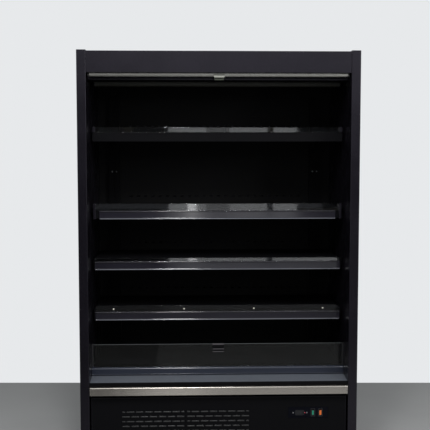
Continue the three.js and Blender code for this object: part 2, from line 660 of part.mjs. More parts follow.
// A bull-nosed channel on the sill, with a post at each end, grips the glass.
function glassChannel() {
  const r = CHANNEL_NOSE;
  const rear = CHANNEL_FRONT + CHANNEL_DEPTH;
  const bar = alongX(rounded(CHANNEL_FRONT, rear, CHANNEL_LOW, CHANNEL_TOP, [2, 1, 1, r]), -SPAN, SPAN);
  const postFront = GLASS_FRONT - SHEET;
  const postRear = GLASS_REAR + SHEET;
  const postIn = SPAN - CHANNEL_POST;
  const left = block(-SPAN, -postIn, postFront, postRear, CHANNEL_LOW + 1, GLASS_TOP);
  const right = block(postIn, SPAN, postFront, postRear, CHANNEL_LOW + 1, GLASS_TOP);
  const slot = block(-postIn, postIn, GLASS_FRONT - FIT, GLASS_REAR + FIT,
    CHANNEL_TOP - GLASS_BITE - FIT, CHANNEL_TOP + 1);
  return piece('glass_channel', cut(join(bar, left, right), [slot]), STRIP_PLASTIC);
}

function frontGlass() {
  const half = SPAN - CHANNEL_POST - FIT;
  const shape = block(-half, half, GLASS_FRONT, GLASS_REAR, CHANNEL_TOP - GLASS_BITE, GLASS_TOP);
  return piece('front_glass', shape, CLEAR);
}

// The catch hangs over the glass edge; its pocket takes the blind grip's tongue.
function blindCatch() {
  const back = GLASS_FRONT - FIT;
  const face = back - CATCH_DEPTH + CATCH_WALL;
  const half = CATCH_WIDTH / 2;
  const low = GLASS_TOP - CATCH_BELOW_GLASS;
  const cap = GLASS_TOP + FIT;
  const rear = GLASS_REAR + FIT + CATCH_WALL;
  const rim = GLASS_TOP - CATCH_CAP;
  const body = block(-half, half, face, back, low, rim);
  const hook = alongX([
    [back - CATCH_WALL, rim - 2], [back, rim - 2], [back, cap], [GLASS_REAR + FIT, cap],
    [GLASS_REAR + FIT, low], [rear, low], [rear, cap + CATCH_CAP], [back - CATCH_WALL, cap + CATCH_CAP],
  ], -half, half);
  const pocket = block(-half + CATCH_WALL, half - CATCH_WALL, face + CATCH_WALL, back - CATCH_WALL,
    rim - CATCH_POCKET_DEPTH, rim + 1);
  const window = block(-half + CATCH_WALL, half - CATCH_WALL, face - 1, face + CATCH_WALL,
    low + CATCH_WALL, low + CATCH_WALL + CATCH_WINDOW);
  return piece('blind_catch', cut(join(body, hook), [pocket, window]), BLACK_PLASTIC);
}

// One sheet: flat under the channel, falling to the front, then turned down behind the bumper.
function frontSill() {
  const nose = FRONT + SILL_SETBACK;
  const level = CHANNEL_FRONT - FIT;
  const rear = CHANNEL_FRONT + CHANNEL_DEPTH;
  const shape = alongX([
    [nose, SILL_FLANGE_END], [nose + SHEET, SILL_FLANGE_END], [nose + SHEET, SILL_Z - SILL_FALL - SHEET],
    [level, SILL_Z - SHEET], [rear, SILL_Z - SHEET], [rear, SILL_Z], [level, SILL_Z],
    [nose, SILL_Z - SILL_FALL],
  ], -SPAN, SPAN);
  return piece('front_sill', shape, GREY_SILL);
}

function bumper() {
  const y0 = FRONT - BUMPER_PROUD;
  const y1 = FRONT + SILL_SETBACK - FIT;
  const half = INNER - BUMPER_END_GAP;
  const r = BUMPER_RADIUS;
  const z1 = BUMPER_Z + BUMPER_HEIGHT;
  const section = alongX(rounded(y0, y1, BUMPER_Z, z1, [r / 2, 0, 0, r]), -half, half);
  const plan = alongZ(rounded(-half, half, y0, y1, [r, r, 0, 0]), BUMPER_Z - 1, z1 + 1);
  return piece('bumper', common(section, plan), STAINLESS);
}

// ---------------------------------------------------------------- well, grille and deck
function insulatedWell() {
  const y0 = FRONT + WELL_SETBACK;
  const y1 = BACK_FACE - FIT;
  const trough = alongX([
    [y0, WELL_UNDERSIDE], [y1, WELL_UNDERSIDE], [y1, WELL_INSIDE], [y0 + WELL_WALL, WELL_INSIDE],
    [y0 + WELL_WALL, WELL_TOP], [y0, WELL_TOP],
  ], -SPAN, SPAN);
  const drainY = y0 + 2 * WELL_WALL;
  const drain = drumZ(DRAIN_RADIUS, WELL_UNDERSIDE - 1, WELL_INSIDE + 1, INNER / 2, drainY, 16);
  return piece('insulated_well', cut(trough, [drain]), INNER_STEEL);
}

// The air curtain is drawn back in here; the rear ledge carries the deck's front edge.
function returnGrille() {
  const front = CHANNEL_FRONT + CHANNEL_DEPTH + FIT;
  const rear = FRONT + DECK_FRONT - FIT;
  const ledge = DECK_Z - SHEET - FIT;
  const top = GRILLE_Z;
  const sheet = alongX([
    [front, WELL_TOP + FIT], [front + SHEET, WELL_TOP + FIT], [front + SHEET, top - SHEET],
    [rear - SHEET, top - SHEET], [rear - SHEET, ledge - SHEET], [rear + DECK_LEDGE, ledge - SHEET],
    [rear + DECK_LEDGE, ledge], [rear, ledge], [rear, top], [front, top],
  ], -SPAN, SPAN);
  const count = Math.floor(2 * (SPAN - GRILLE_SLOT_PITCH / 2) / GRILLE_SLOT_PITCH);
  const start = -(count * GRILLE_SLOT_PITCH) / 2 + (GRILLE_SLOT_PITCH - GRILLE_SLOT_WIDTH) / 2;
  const y = (front + rear - GRILLE_SLOT_DEPTH) / 2;
  const slots = [];
  for (let i = 0; i < count; i += 1) {
    const x = start + i * GRILLE_SLOT_PITCH;
    slots.push(block(x, x + GRILLE_SLOT_WIDTH, y, y + GRILLE_SLOT_DEPTH, top - SHEET - 1, top + 1));
  }
  return piece('return_grille', cut(sheet, slots), INNER_STEEL);
}

function deckTray() {
  const front = FRONT + DECK_FRONT;
  const rear = DUCT_FRONT - FIT;
  const ribFront = front + DECK_LEDGE + DECK_RIB_GAP;
  const ribRear = rear - DECK_LEDGE - DECK_RIB_GAP;
  const low = DECK_Z - SHEET;
  const rib = low - DECK_RIB;
  const half = SPAN - DECK_SIDE_GAP;
  const shape = alongX([
    [front, low], [ribFront, low], [ribFront, rib], [ribFront + SHEET, rib], [ribFront + SHEET, low],
    [ribRear - SHEET, low], [ribRear - SHEET, rib], [ribRear, rib], [ribRear, low], [rear, low],
    [rear, DECK_Z], [front, DECK_Z],
  ], -half, half);
  const notchHalf = UPRIGHT_WIDTH / 2 + DECK_NOTCH_GAP;
  const notches = [-UPRIGHT_X, UPRIGHT_X].map((x) => (
    block(x - notchHalf, x + notchHalf, UPRIGHT_FRONT - DECK_NOTCH_GAP, rear + 1, low - 1, DECK_Z + 1)));
  return piece('deck_tray', cut(shape, notches), INNER_STEEL);
}

// ---------------------------------------------------------------- controls
const CONTROL_RIGHT = INNER - CONTROL_INSET;
const CONTROL_LEFT = CONTROL_RIGHT - CONTROL_WIDTH;
const CONTROL_LOW = CONTROL_Z - CONTROL_HEIGHT / 2;
const CONTROL_TOP = CONTROL_Z + CONTROL_HEIGHT / 2;
const PANEL_FACE = FRONT + LOWER_PANEL_SETBACK;
const CONTROLLER_X0 = CONTROL_LEFT + CONTROLLER_LEFT;
const CONTROLLER_X1 = CONTROLLER_X0 + CONTROLLER_WIDTH;

// Plate with a box behind it, hung on the right end panel by an arm.
function controlPanel() {
  const y0 = PANEL_FACE;
  const y1 = y0 + CONTROL_BOX_DEPTH;
  const m = CONTROL_BOX_MARGIN;
  const plate = block(CONTROL_LEFT, CONTROL_RIGHT, y0, y0 + SHEET, CONTROL_LOW, CONTROL_TOP);
  const box = block(CONTROL_LEFT + m, CONTROL_RIGHT - m, y0 + 1, y1, CONTROL_LOW + m, CONTROL_TOP - m);
  const armFront = y0 + LOWER_PANEL_RETURN + CONTROL_BOX_MARGIN;
  const arm = block(CONTROL_RIGHT - 2 * m, SPAN, armFront, y1, CONTROL_TOP - m - SHEET, CONTROL_TOP - m);
  const ear = block(SPAN - SHEET, SPAN, armFront, y1, CONTROL_LOW + m, CONTROL_TOP - m);
  const hollow = block(CONTROL_LEFT + m + SHEET, CONTROL_RIGHT - m - SHEET, y0 + SHEET, y1 + 1,
    CONTROL_LOW + m + SHEET, CONTROL_TOP - m - SHEET);
  const cutOuts = [controllerSpace(), ...ROCKER_LEFTS.map((left) => rockerSpace(left))];
  return piece('control_panel', cut(join(plate, box, arm, ear), [hollow, ...cutOuts]), BLACK_PLASTIC);
}

function controllerSpace() {
  const inset = CONTROLLER_EDGE - FIT;
  const half = CONTROLLER_HEIGHT / 2 - inset;
  return block(CONTROLLER_X0 + inset, CONTROLLER_X1 - inset, PANEL_FACE - 1, PANEL_FACE + SHEET + 1,
    CONTROL_Z - half, CONTROL_Z + half);
}

function rockerSpace(left) {
  const x0 = CONTROL_LEFT + left - ROCKER_GAP;
  const half = ROCKER_HEIGHT / 2 + 2 * ROCKER_GAP;
  return block(x0, x0 + ROCKER_WIDTH + 2 * ROCKER_GAP, PANEL_FACE - 1, PANEL_FACE + SHEET + 1,
    CONTROL_Z - half, CONTROL_Z + half);
}

const BUTTONS = [
  { name: 'controller_button_left', x: CONTROLLER_X0 + BUTTON_INSET },
  { name: 'controller_button_right', x: CONTROLLER_X1 - BUTTON_INSET },
];

function temperatureController() {
  const half = CONTROLLER_HEIGHT / 2;
  const face = PANEL_FACE - FIT - CONTROLLER_BEZEL;
  const low = CONTROL_Z - half;
  const top = CONTROL_Z + half;
  const bezel = block(CONTROLLER_X0, CONTROLLER_X1, face, PANEL_FACE - FIT, low, top);
  const edge = CONTROLLER_EDGE;
  const body = block(CONTROLLER_X0 + edge, CONTROLLER_X1 - edge, face + 1, PANEL_FACE + CONTROLLER_BODY,
    low + edge, top - edge);
  const holes = BUTTONS.map(({ x }) => (
    drumY(BUTTON_RADIUS + FIT, face - 1, face + BUTTON_LENGTH + BUTTON_TRAVEL + 1, x, CONTROL_Z, 16)));
  return piece('temperature_controller', cut(join(bezel, body), holes), BLACK_PLASTIC);
}

function controllerButtons() {
  const face = PANEL_FACE - FIT - CONTROLLER_BEZEL - BUTTON_PROUD;
  return assembly(...BUTTONS.map(({ name, x }) => (
    piece(name, drumY(BUTTON_RADIUS, face, face + BUTTON_LENGTH, x, CONTROL_Z, 16), GREY_PLASTIC))));
}

// A rocker's face is two flats that meet at its pivot line; it rests with its lower half pressed in.
function rockers() {
  const tilt = THREE.MathUtils.degToRad(ROCKER_TILT);
  const half = ROCKER_HEIGHT / 2;
  const crown = half * Math.tan(tilt);
  const face = -ROCKER_PROUD;
  const back = face + ROCKER_BODY;
  const section = [
    [face, 0], [face - crown, half], [back, half / 2], [back, -half / 2], [face - crown, -half],
  ];
  const shape = alongX(section, -ROCKER_WIDTH / 2, ROCKER_WIDTH / 2);
  const looks = [GREEN, AMBER];
  return assembly(...ROCKER_NAMES.map((name, index) => {
    const rocker = piece(name, shape, looks[index]);
    rocker.position.set(CONTROL_LEFT + ROCKER_LEFTS[index] + ROCKER_WIDTH / 2, PANEL_FACE, CONTROL_Z);
    rocker.rotation.x = tilt;
    return rocker;
  }));
}

// ---------------------------------------------------------------- lower front panel
// A shallow pan with rows of louvres, cut out for the control plate.
function lowerFrontPanel() {
  const half = INNER - LOWER_PANEL_END_GAP;
  const low = KICK_TOP + FIT;
  const y0 = PANEL_FACE;
  const y1 = y0 + LOWER_PANEL_RETURN;
  const pan = block(-half, half, y0, y1, low, LOWER_PANEL_TOP);
  const hollow = block(-half + SHEET, half - SHEET, y0 + SHEET, y1 + 1,
    low + SHEET, LOWER_PANEL_TOP - SHEET);
  const gap = CONTROL_GAP;
  const window = block(CONTROL_LEFT - gap, CONTROL_RIGHT + gap, y0 - 1, y0 + SHEET + 1,
    CONTROL_LOW - gap, CONTROL_TOP + gap);
  return piece('lower_front_panel', cut(pan, [hollow, window, ...louvres()]), BLACK_STEEL);
}

// Every second row is staggered by half a pitch, with a short louvre at both ends of each group.
function louvres() {
  const slots = [];
  const groupWidth = LOUVRES_IN_GROUP * LOUVRE_PITCH_X + LOUVRE_GROUP_GAP;
  const shift = LOUVRE_PITCH_X / 2;
  const shortWidth = LOUVRE_WIDTH - shift;
  for (let row = 0; row < LOUVRE_ROWS; row += 1) {
    const low = LOUVRE_TOP - row * LOUVRE_PITCH_Z - LOUVRE_HEIGHT / 2;
    const slot = (x, width) => block(
      x, x + width, PANEL_FACE - 1, PANEL_FACE + SHEET + 1, low, low + LOUVRE_HEIGHT);
    const staggered = row % 2 === 0;
    for (let group = 0; group < LOUVRE_GROUPS; group += 1) {
      const start = -INNER + LOUVRE_INSET + group * groupWidth;
      const first = staggered ? start + shift : start;
      const count = staggered ? LOUVRES_IN_GROUP - 1 : LOUVRES_IN_GROUP;
      for (let i = 0; i < count; i += 1) {
        slots.push(slot(first + i * LOUVRE_PITCH_X, LOUVRE_WIDTH));
      }
      if (staggered) {
        slots.push(slot(start, shortWidth), slot(first + count * LOUVRE_PITCH_X, shortWidth));
      }
    }
  }
  return slots;
}

// ---------------------------------------------------------------- base frame and feet
const FOOT_PLACES = [
  { name: 'foot_front_left', x: -INNER + FOOT_INSET_X, y: FRONT + FOOT_INSET_FRONT },
  { name: 'foot_front_right', x: INNER - FOOT_INSET_X, y: FRONT + FOOT_INSET_FRONT },
  { name: 'foot_rear_left', x: -INNER + FOOT_INSET_X, y: REAR - FOOT_INSET_REAR },
  { name: 'foot_rear_right', x: INNER - FOOT_INSET_X, y: REAR - FOOT_INSET_REAR },
];
const BASE_REAR = REAR - SHEET;
const INLET_X = INNER - INLET_FROM_RIGHT;

// Floor pan with a kick flange, a ventilated rear wall and four posts under the well.
function baseFrame() {
  const y0 = FRONT + BASE_FRONT;
  const y1 = BASE_REAR;
  const z1 = WELL_UNDERSIDE - FIT;
  const floor = block(-SPAN, SPAN, y0, y1, FOOT_HEIGHT, BASE_TOP);
  const kick = block(-SPAN, SPAN, y0, y0 + BASE_WALL, FOOT_HEIGHT, KICK_TOP);
  const rearWall = block(-SPAN, SPAN, y1 - BASE_WALL, y1, FOOT_HEIGHT, z1);
  const frontPost = FRONT + WELL_SETBACK;
  const posts = [-1, 1].flatMap((side) => {
    const x0 = side < 0 ? -SPAN : SPAN - POST;
    return [
      block(x0, x0 + POST, frontPost, frontPost + POST, FOOT_HEIGHT + 1, z1),
      block(x0, x0 + POST, y1 - BASE_WALL - POST, y1 - 1, FOOT_HEIGHT + 1, z1),
    ];
  });
  const bores = FOOT_PLACES.map(({ x, y }) => (
    drumZ(FOOT_STEM_RADIUS + FIT, FOOT_HEIGHT - 1, FOOT_STEM_TOP + 2, x, y, 16)));
  const tools = [...bores, ...rearVents(), inletHole()];
  return piece('base_frame', cut(join(floor, kick, rearWall, ...posts), tools), BLACK_STEEL);
}

function rearVents() {
  const vents = [];
  const start = -((REAR_VENT_COLUMNS - 1) * REAR_VENT_PITCH_X) / 2 - REAR_VENT_WIDTH / 2;
  for (let row = 0; row < REAR_VENT_ROWS; row += 1) {
    const z = REAR_VENT_Z + row * REAR_VENT_PITCH_Z - REAR_VENT_HEIGHT / 2;
    for (let column = 0; column < REAR_VENT_COLUMNS; column += 1) {
      const x = start + column * REAR_VENT_PITCH_X;
      vents.push(block(x, x + REAR_VENT_WIDTH, BASE_REAR - BASE_WALL - 1, BASE_REAR + 1,
        z, z + REAR_VENT_HEIGHT));
    }
  }
  return vents;
}

function inletHole() {
  return block(INLET_X - INLET_WIDTH / 2 - FIT, INLET_X + INLET_WIDTH / 2 + FIT, BASE_REAR - BASE_WALL - 1,
    BASE_REAR + 1, INLET_Z - INLET_HEIGHT / 2 - FIT, INLET_Z + INLET_HEIGHT / 2 + FIT);
}

// Recessed appliance inlet, flush with the cabinet's rear face.
function powerInlet() {
  const face = REAR;
  const flangeBack = BASE_REAR + FIT;
  const halfW = INLET_WIDTH / 2;
  const halfH = INLET_HEIGHT / 2;
  const flange = block(INLET_X - halfW - INLET_FLANGE, INLET_X + halfW + INLET_FLANGE, flangeBack, face,
    INLET_Z - halfH - INLET_FLANGE, INLET_Z + halfH + INLET_FLANGE);
  const body = block(INLET_X - halfW, INLET_X + halfW, face - INLET_BODY, face - SHEET / 4,
    INLET_Z - halfH, INLET_Z + halfH);
  const recess = block(INLET_X - halfW + INLET_WALL, INLET_X + halfW - INLET_WALL,
    face - INLET_RECESS, face + 1, INLET_Z - halfH + INLET_WALL, INLET_Z + halfH - INLET_WALL);
  return piece('power_inlet', cut(join(flange, body), [recess]), BLACK_PLASTIC);
}

function levellingFeet() {
  const profile = [
    [0, 0], [FOOT_PAD_RADIUS, 0], [FOOT_PAD_RADIUS, FOOT_PAD_HEIGHT / 2],
    [FOOT_PAD_RADIUS / 2, FOOT_PAD_HEIGHT], [FOOT_STEM_RADIUS, FOOT_PAD_HEIGHT],
    [FOOT_STEM_RADIUS, FOOT_STEM_TOP], [0, FOOT_STEM_TOP],
  ].map(([r, z]) => new THREE.Vector2(r, z));
  const shape = new THREE.LatheGeometry(profile, 20).rotateX(Math.PI / 2);
  return assembly(...FOOT_PLACES.map(({ name, x, y }) => {
    const foot = piece(name, shape, ZINC);
    foot.position.set(x, y, 0);
    return foot;
  }));
}

// ---------------------------------------------------------------- refrigeration set
const CONDENSER_X0 = -INNER + CONDENSER_LEFT;
const CONDENSER_X = CONDENSER_X0 + CONDENSER_WIDTH / 2;
const CONDENSER_Z0 = BASE_TOP + FIT;
const CONDENSER_Z = CONDENSER_Z0 + CONDENSER_HEIGHT / 2;
const CONDENSER_Y0 = FRONT + CONDENSER_SETBACK;
const SHROUD_REAR = CONDENSER_Y0 + CONDENSER_DEPTH + SHROUD_DEPTH;

// A hub with pitched blades; its axis is +Z and its rear face is at z = 0.
function fanShape(radius) {
  const hub = drumZ(FAN_HUB_RADIUS, 0, FAN_HUB_LENGTH, 0, 0, 20);
  const root = FAN_HUB_RADIUS * Math.cos(Math.PI / 6);
  const chord = FAN_BLADE_CHORD;
  const blades = [];
  for (let i = 0; i < FAN_BLADES; i += 1) {
    const t = FAN_BLADE_THICKNESS / 2;
    const blade = block(root, radius - 1, -chord / 2, chord / 2, -t, t);
    blade.rotateX(THREE.MathUtils.degToRad(FAN_BLADE_PITCH));
    blade.translate(0, 0, FAN_HUB_LENGTH / 2).rotateZ((2 * Math.PI * i) / FAN_BLADES);
    blades.push(blade);
  }
  return join(hub, ...blades);
}

// Finned block, fan shroud and the motor on its spokes, fixed together as one unit.
function condenser() {
  const x1 = CONDENSER_X0 + CONDENSER_WIDTH;
  const z1 = CONDENSER_Z0 + CONDENSER_HEIGHT;
  const finRear = CONDENSER_Y0 + CONDENSER_DEPTH;
  const core = block(CONDENSER_X0, x1, CONDENSER_Y0, finRear, CONDENSER_Z0, z1);
  const hood = block(CONDENSER_X0, x1, finRear - 1, SHROUD_REAR, CONDENSER_Z0, z1);
  const hollow = block(CONDENSER_X0 + SHEET, x1 - SHEET, finRear, SHROUD_REAR - SHEET,
    CONDENSER_Z0 + SHEET, z1 - SHEET);
  const mouthRadius = CONDENSER_FAN_RADIUS + FAN_TIP_GAP;
  const mouth = drumY(mouthRadius, finRear + 1, SHROUD_REAR + 1, CONDENSER_X, CONDENSER_Z, 32);
  const motorFront = SHROUD_REAR + FIT;
  const motor = drumY(MOTOR_RADIUS, motorFront, motorFront + MOTOR_LENGTH, CONDENSER_X, CONDENSER_Z, 20);
  const spokes = spokeArms(CONDENSER_FAN_RADIUS + 2 * FAN_TIP_GAP).map((arm) => (
    arm.rotateX(Math.PI / 2).translate(CONDENSER_X, SHROUD_REAR + SPOKE / 2 - FIT, CONDENSER_Z)));
  const shell = cut(join(core, hood), [hollow, mouth]);
  return piece('condenser', join(shell, motor, ...spokes), COPPER_BROWN);
}

// Three arms in the XY plane, reaching out from the centre.
function spokeArms(reach) {
  return [0, 1, 2].map((i) => (
    block(0, reach, -SPOKE / 2, SPOKE / 2, -SPOKE / 2, SPOKE / 2)
      .rotateZ(Math.PI / 2 + (2 * Math.PI * i) / 3)));
}

function condenserFan() {
  const fan = piece('condenser_fan', fanShape(CONDENSER_FAN_RADIUS), BLACK_PLASTIC);
  fan.rotation.x = Math.PI / 2;
  fan.position.set(CONDENSER_X, SHROUD_REAR - 2 * FIT, CONDENSER_Z);
  return fan;
}

function compressor() {
  const r = COMPRESSOR_RADIUS;
  const dome = COMPRESSOR_DOME;
  const z0 = BASE_TOP + FIT + COMPRESSOR_PLATE;
  const z1 = z0 + COMPRESSOR_HEIGHT;
  const steps = 4;
  const profile = [];
  for (let i = 0; i <= steps; i += 1) {
    const a = (i / steps) * (Math.PI / 2);
    profile.push(new THREE.Vector2(r * Math.sin(a), z0 + COMPRESSOR_LIFT + dome * (1 - Math.cos(a))));
  }
  for (let i = 0; i <= steps; i += 1) {
    const a = (i / steps) * (Math.PI / 2);
    profile.push(new THREE.Vector2(r * Math.cos(a), z1 - dome * (1 - Math.sin(a))));
  }
  profile[0].x = 0;
  profile[profile.length - 1].x = 0;
  const can = new THREE.LatheGeometry(profile, 24).rotateX(Math.PI / 2);
  const x = INNER - COMPRESSOR_FROM_RIGHT;
  const y = FRONT + COMPRESSOR_SETBACK;
  can.translate(x, y, 0);
  const w = COMPRESSOR_PLATE_WIDTH / 2;
  const d = COMPRESSOR_PLATE_DEPTH / 2;
  const low = BASE_TOP + FIT;
  const plate = block(x - w, x + w, y - d, y + d, low, low + COMPRESSOR_PLATE);
  const skirt = drumZ(COMPRESSOR_SKIRT_RADIUS, low + 1, z0 + COMPRESSOR_LIFT + dome, x, y, 20);
  const half = TERMINAL_BOX / 2;
  const middle = (z0 + z1) / 2;
  const terminal = block(x - half, x + half, y - r - TERMINAL_PROUD, y, middle - half, middle + half);
  return piece('compressor', join(can, plate, skirt, terminal), COMPRESSOR_BLACK);
}

const EVAPORATOR_LOW = WELL_INSIDE + FIT;
const EVAPORATOR_TOP = DECK_Z - SHEET - DECK_RIB - EVAPORATOR_HEADROOM;
const EVAPORATOR_Y1 = DUCT_FRONT - DECK_LEDGE;
const EVAPORATOR_Y0 = EVAPORATOR_Y1 - EVAPORATOR_DEPTH;
const EVAPORATOR_FAN_Y = (FRONT + DECK_FRONT + DECK_LEDGE + EVAPORATOR_Y0) / 2;

// Finned block in the well, with the fan's motor on a strap in front of it.
function evaporator() {
  const half = INNER - EVAPORATOR_END_GAP;
  const top = EVAPORATOR_TOP;
  const wall = EVAPORATOR_FIN_WALL;
  const core = block(-half, half, EVAPORATOR_Y0, EVAPORATOR_Y1, EVAPORATOR_LOW + wall, top - wall);
  const ends = [-1, 1].map((side) => (
    block(side * half - wall, side * half + wall, EVAPORATOR_Y0 - wall, EVAPORATOR_Y1,
      EVAPORATOR_LOW, top)));
  const strap = block(-2 * SPOKE, 2 * SPOKE, EVAPORATOR_FAN_Y, EVAPORATOR_Y0 + 1,
    EVAPORATOR_LOW, EVAPORATOR_LOW + SPOKE);
  const motorTop = EVAPORATOR_LOW + EVAPORATOR_MOTOR_LENGTH;
  const motor = drumZ(MOTOR_RADIUS, EVAPORATOR_LOW, motorTop, 0, EVAPORATOR_FAN_Y, 20);
  return piece('evaporator', join(core, ...ends, strap, motor), ZINC);
}

function evaporatorFan() {
  const fan = piece('evaporator_fan', fanShape(EVAPORATOR_FAN_RADIUS), BLACK_PLASTIC);
  fan.position.set(0, EVAPORATOR_FAN_Y, EVAPORATOR_LOW + EVAPORATOR_MOTOR_LENGTH + FIT);
  return fan;
}

// ---------------------------------------------------------------- the whole fridge
const fridge = assembly(
  assembly(endPanels(), backPanel(), roofPanel()),
  assembly(canopyFascia(), airHoneycomb(), ceilingPanel(), canopyLamp()),
  assembly(rearDuctPanel(), uprights(), shelves()),
  assembly(blindBar(), blindGrip(), blindFabric(), blindRoller()),
  assembly(glassChannel(), frontGlass(), blindCatch(), frontSill(), bumper()),
  assembly(insulatedWell(), returnGrille(), deckTray()),
  assembly(controlPanel(), temperatureController(), controllerButtons(), rockers(), lowerFrontPanel()),
  assembly(baseFrame(), powerInlet(), levellingFeet()),
  assembly(condenser(), condenserFan(), compressor(), evaporator(), evaporatorFan()),
);
fridge.name = 'open_multideck_display_fridge';

export default fridge;
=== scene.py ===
import json
import math

import bmesh
import bpy
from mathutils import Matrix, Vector

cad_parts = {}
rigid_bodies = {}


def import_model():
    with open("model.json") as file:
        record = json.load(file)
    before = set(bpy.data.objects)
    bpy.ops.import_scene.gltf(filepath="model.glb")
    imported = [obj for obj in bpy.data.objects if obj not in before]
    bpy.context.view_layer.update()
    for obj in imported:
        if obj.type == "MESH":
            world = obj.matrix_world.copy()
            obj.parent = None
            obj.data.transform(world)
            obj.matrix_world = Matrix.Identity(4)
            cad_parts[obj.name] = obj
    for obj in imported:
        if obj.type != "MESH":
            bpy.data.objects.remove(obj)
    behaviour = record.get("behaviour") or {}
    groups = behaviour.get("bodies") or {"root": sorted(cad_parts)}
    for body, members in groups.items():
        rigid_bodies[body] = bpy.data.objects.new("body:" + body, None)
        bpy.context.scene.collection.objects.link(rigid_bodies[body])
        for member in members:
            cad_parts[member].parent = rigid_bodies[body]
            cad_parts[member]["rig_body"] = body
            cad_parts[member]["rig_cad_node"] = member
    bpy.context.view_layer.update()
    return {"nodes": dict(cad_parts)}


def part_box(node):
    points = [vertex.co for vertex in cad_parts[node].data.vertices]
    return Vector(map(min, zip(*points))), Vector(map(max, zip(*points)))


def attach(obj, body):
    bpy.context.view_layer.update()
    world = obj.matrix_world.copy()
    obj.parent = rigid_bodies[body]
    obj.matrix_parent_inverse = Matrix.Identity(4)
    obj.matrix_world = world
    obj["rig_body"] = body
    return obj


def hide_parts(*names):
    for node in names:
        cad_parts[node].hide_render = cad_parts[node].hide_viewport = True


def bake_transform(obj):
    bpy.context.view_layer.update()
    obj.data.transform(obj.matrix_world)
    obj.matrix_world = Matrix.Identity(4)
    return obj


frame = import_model()
nodes = frame["nodes"]
MM = 0.001


# Camera and studio: the camera stands before the cabinet, in a white surround. A broad and a
# narrow lamp hang overhead, one stands to the right, and a weak strip glows behind the camera.
def linear(code):
    """An sRGB hex colour as linear RGBA."""
    parts = [int(code[i:i + 2], 16) / 255 for i in (0, 2, 4)]
    return [p / 12.92 if p <= 0.04045 else ((p + 0.055) / 1.055) ** 2.4 for p in parts] + [1.0]


def add(owner, kind, settings=None, links=None):
    """Adds a node to a material or world. Settings name inputs or properties, links inputs."""
    node = owner.node_tree.nodes.new(kind)
    for name, value in (settings or {}).items():
        if isinstance(name, int) or name in node.inputs:
            node.inputs[name].default_value = value
        else:
            setattr(node, name, value)
    for name, source in (links or {}).items():
        owner.node_tree.links.new(source, node.inputs[name])
    return node


CAMERA_AT = (-0.158, -4.3, 1.524)
CAMERA_DOWN = 4.67  # degrees below level
CAMERA_TURN = -2.004  # degrees, and below zero it looks to the right
LENS_MM, SENSOR_MM = 75.0, 36.0
bpy.ops.object.camera_add(
    location=CAMERA_AT, rotation=(math.radians(90 - CAMERA_DOWN), 0, math.radians(CAMERA_TURN)))
camera = bpy.context.object
camera.data.lens = LENS_MM
camera.data.sensor_width = SENSOR_MM
bpy.context.scene.camera = camera
bpy.context.scene.view_settings.view_transform = "Standard"

# Light Path keeps the surround at the wall's own pale colour for eyes, gloss and glass alike.
surround = bpy.data.worlds.new("studio_surround")
bpy.context.scene.world = surround
surround.use_nodes = True
surround.node_tree.nodes.clear()
light_path = add(surround, "ShaderNodeLightPath")
eye_or_gloss = add(surround, "ShaderNodeMath", {"operation": "MAXIMUM"}, {
    0: light_path.outputs["Is Camera Ray"], 1: light_path.outputs["Is Glossy Ray"]})
seen = add(surround, "ShaderNodeMath", {"operation": "MAXIMUM"}, {
    0: eye_or_gloss.outputs[0], 1: light_path.outputs["Is Transmission Ray"]})
level = add(surround, "ShaderNodeMapRange", {"To Min": 0.4, "To Max": 1.0},
            {"Value": seen.outputs[0]})
backing = add(surround, "ShaderNodeBackground", {"Color": linear("e7e9eb")},
              {"Strength": level.outputs[0]})
add(surround, "ShaderNodeOutputWorld", {}, {"Surface": backing.outputs[0]})


def lamp(name, place, aim, size, watts):
    """A soft rectangular lamp turned towards a point."""
    turn = (Vector(aim) - Vector(place)).to_track_quat("-Z", "Y").to_euler()
    bpy.ops.object.light_add(type="AREA", location=place, rotation=turn)
    made = bpy.context.object
    made.name = name
    made.data.shape = "RECTANGLE"
    made.data.size, made.data.size_y = size
    made.data.energy = watts
    return made


fill = lamp("overhead_softbox", (-0.10, -2.3, 3.3), (0, -0.2, 1.0), (2.8, 1.1), 86)
fill.visible_glossy = False
lamp("overhead_strip", (-0.22, -2.3, 3.28), (-0.1, -0.2, 1.0), (0.32, 0.9), 34)
lamp("side_softbox", (2.6, -3.0, 2.7), (0.2, -0.3, 1.2), (1.2, 1.4), 45)
lamp("rear_strip", (-0.065, -6.0, 0.75), (-0.065, 0, 0.75), (0.1, 1.1), 0.75)


# Studio floor: pale grey, matt, with the faint cloudiness of a painted slab. Its rear edge lies
# level in the picture.
def blank(name):
    """A new material without nodes."""
    made = bpy.data.materials.new(name)
    made.use_nodes = True
    made.node_tree.nodes.clear()
    return made


floor_paint = blank("painted_floor")
floor_place = add(floor_paint, "ShaderNodeTexCoord")
floor_cloud = add(floor_paint, "ShaderNodeTexNoise", {"Scale": 2.5, "Detail": 3.0},
                  {"Vector": floor_place.outputs["Object"]})
floor_tone = add(floor_paint, "ShaderNodeMix", {
    "data_type": "RGBA", 6: linear("989999"), 7: linear("a2a3a3")}, {0: floor_cloud.outputs[0]})
floor_shade = add(floor_paint, "ShaderNodeBsdfPrincipled", {
    "Roughness": 0.9, "Specular IOR Level": 0.0}, {"Base Color": floor_tone.outputs[2]})
add(floor_paint, "ShaderNodeOutputMaterial", {}, {"Surface": floor_shade.outputs[0]})


def card(name, size, place, turn, finish):
    """A flat card of the studio, in metres."""
    bpy.ops.mesh.primitive_plane_add(size=1)
    made = bpy.context.object
    made.name = name
    made.scale = (*size, 1)
    made.rotation_euler = turn
    made.location = place
    bpy.ops.object.transform_apply()
    made.data.materials.append(finish)
    return made


card("studio_floor", (12, 8.4), (-0.1, -2.92, 0), (0, 0, math.radians(CAMERA_TURN)), floor_paint)


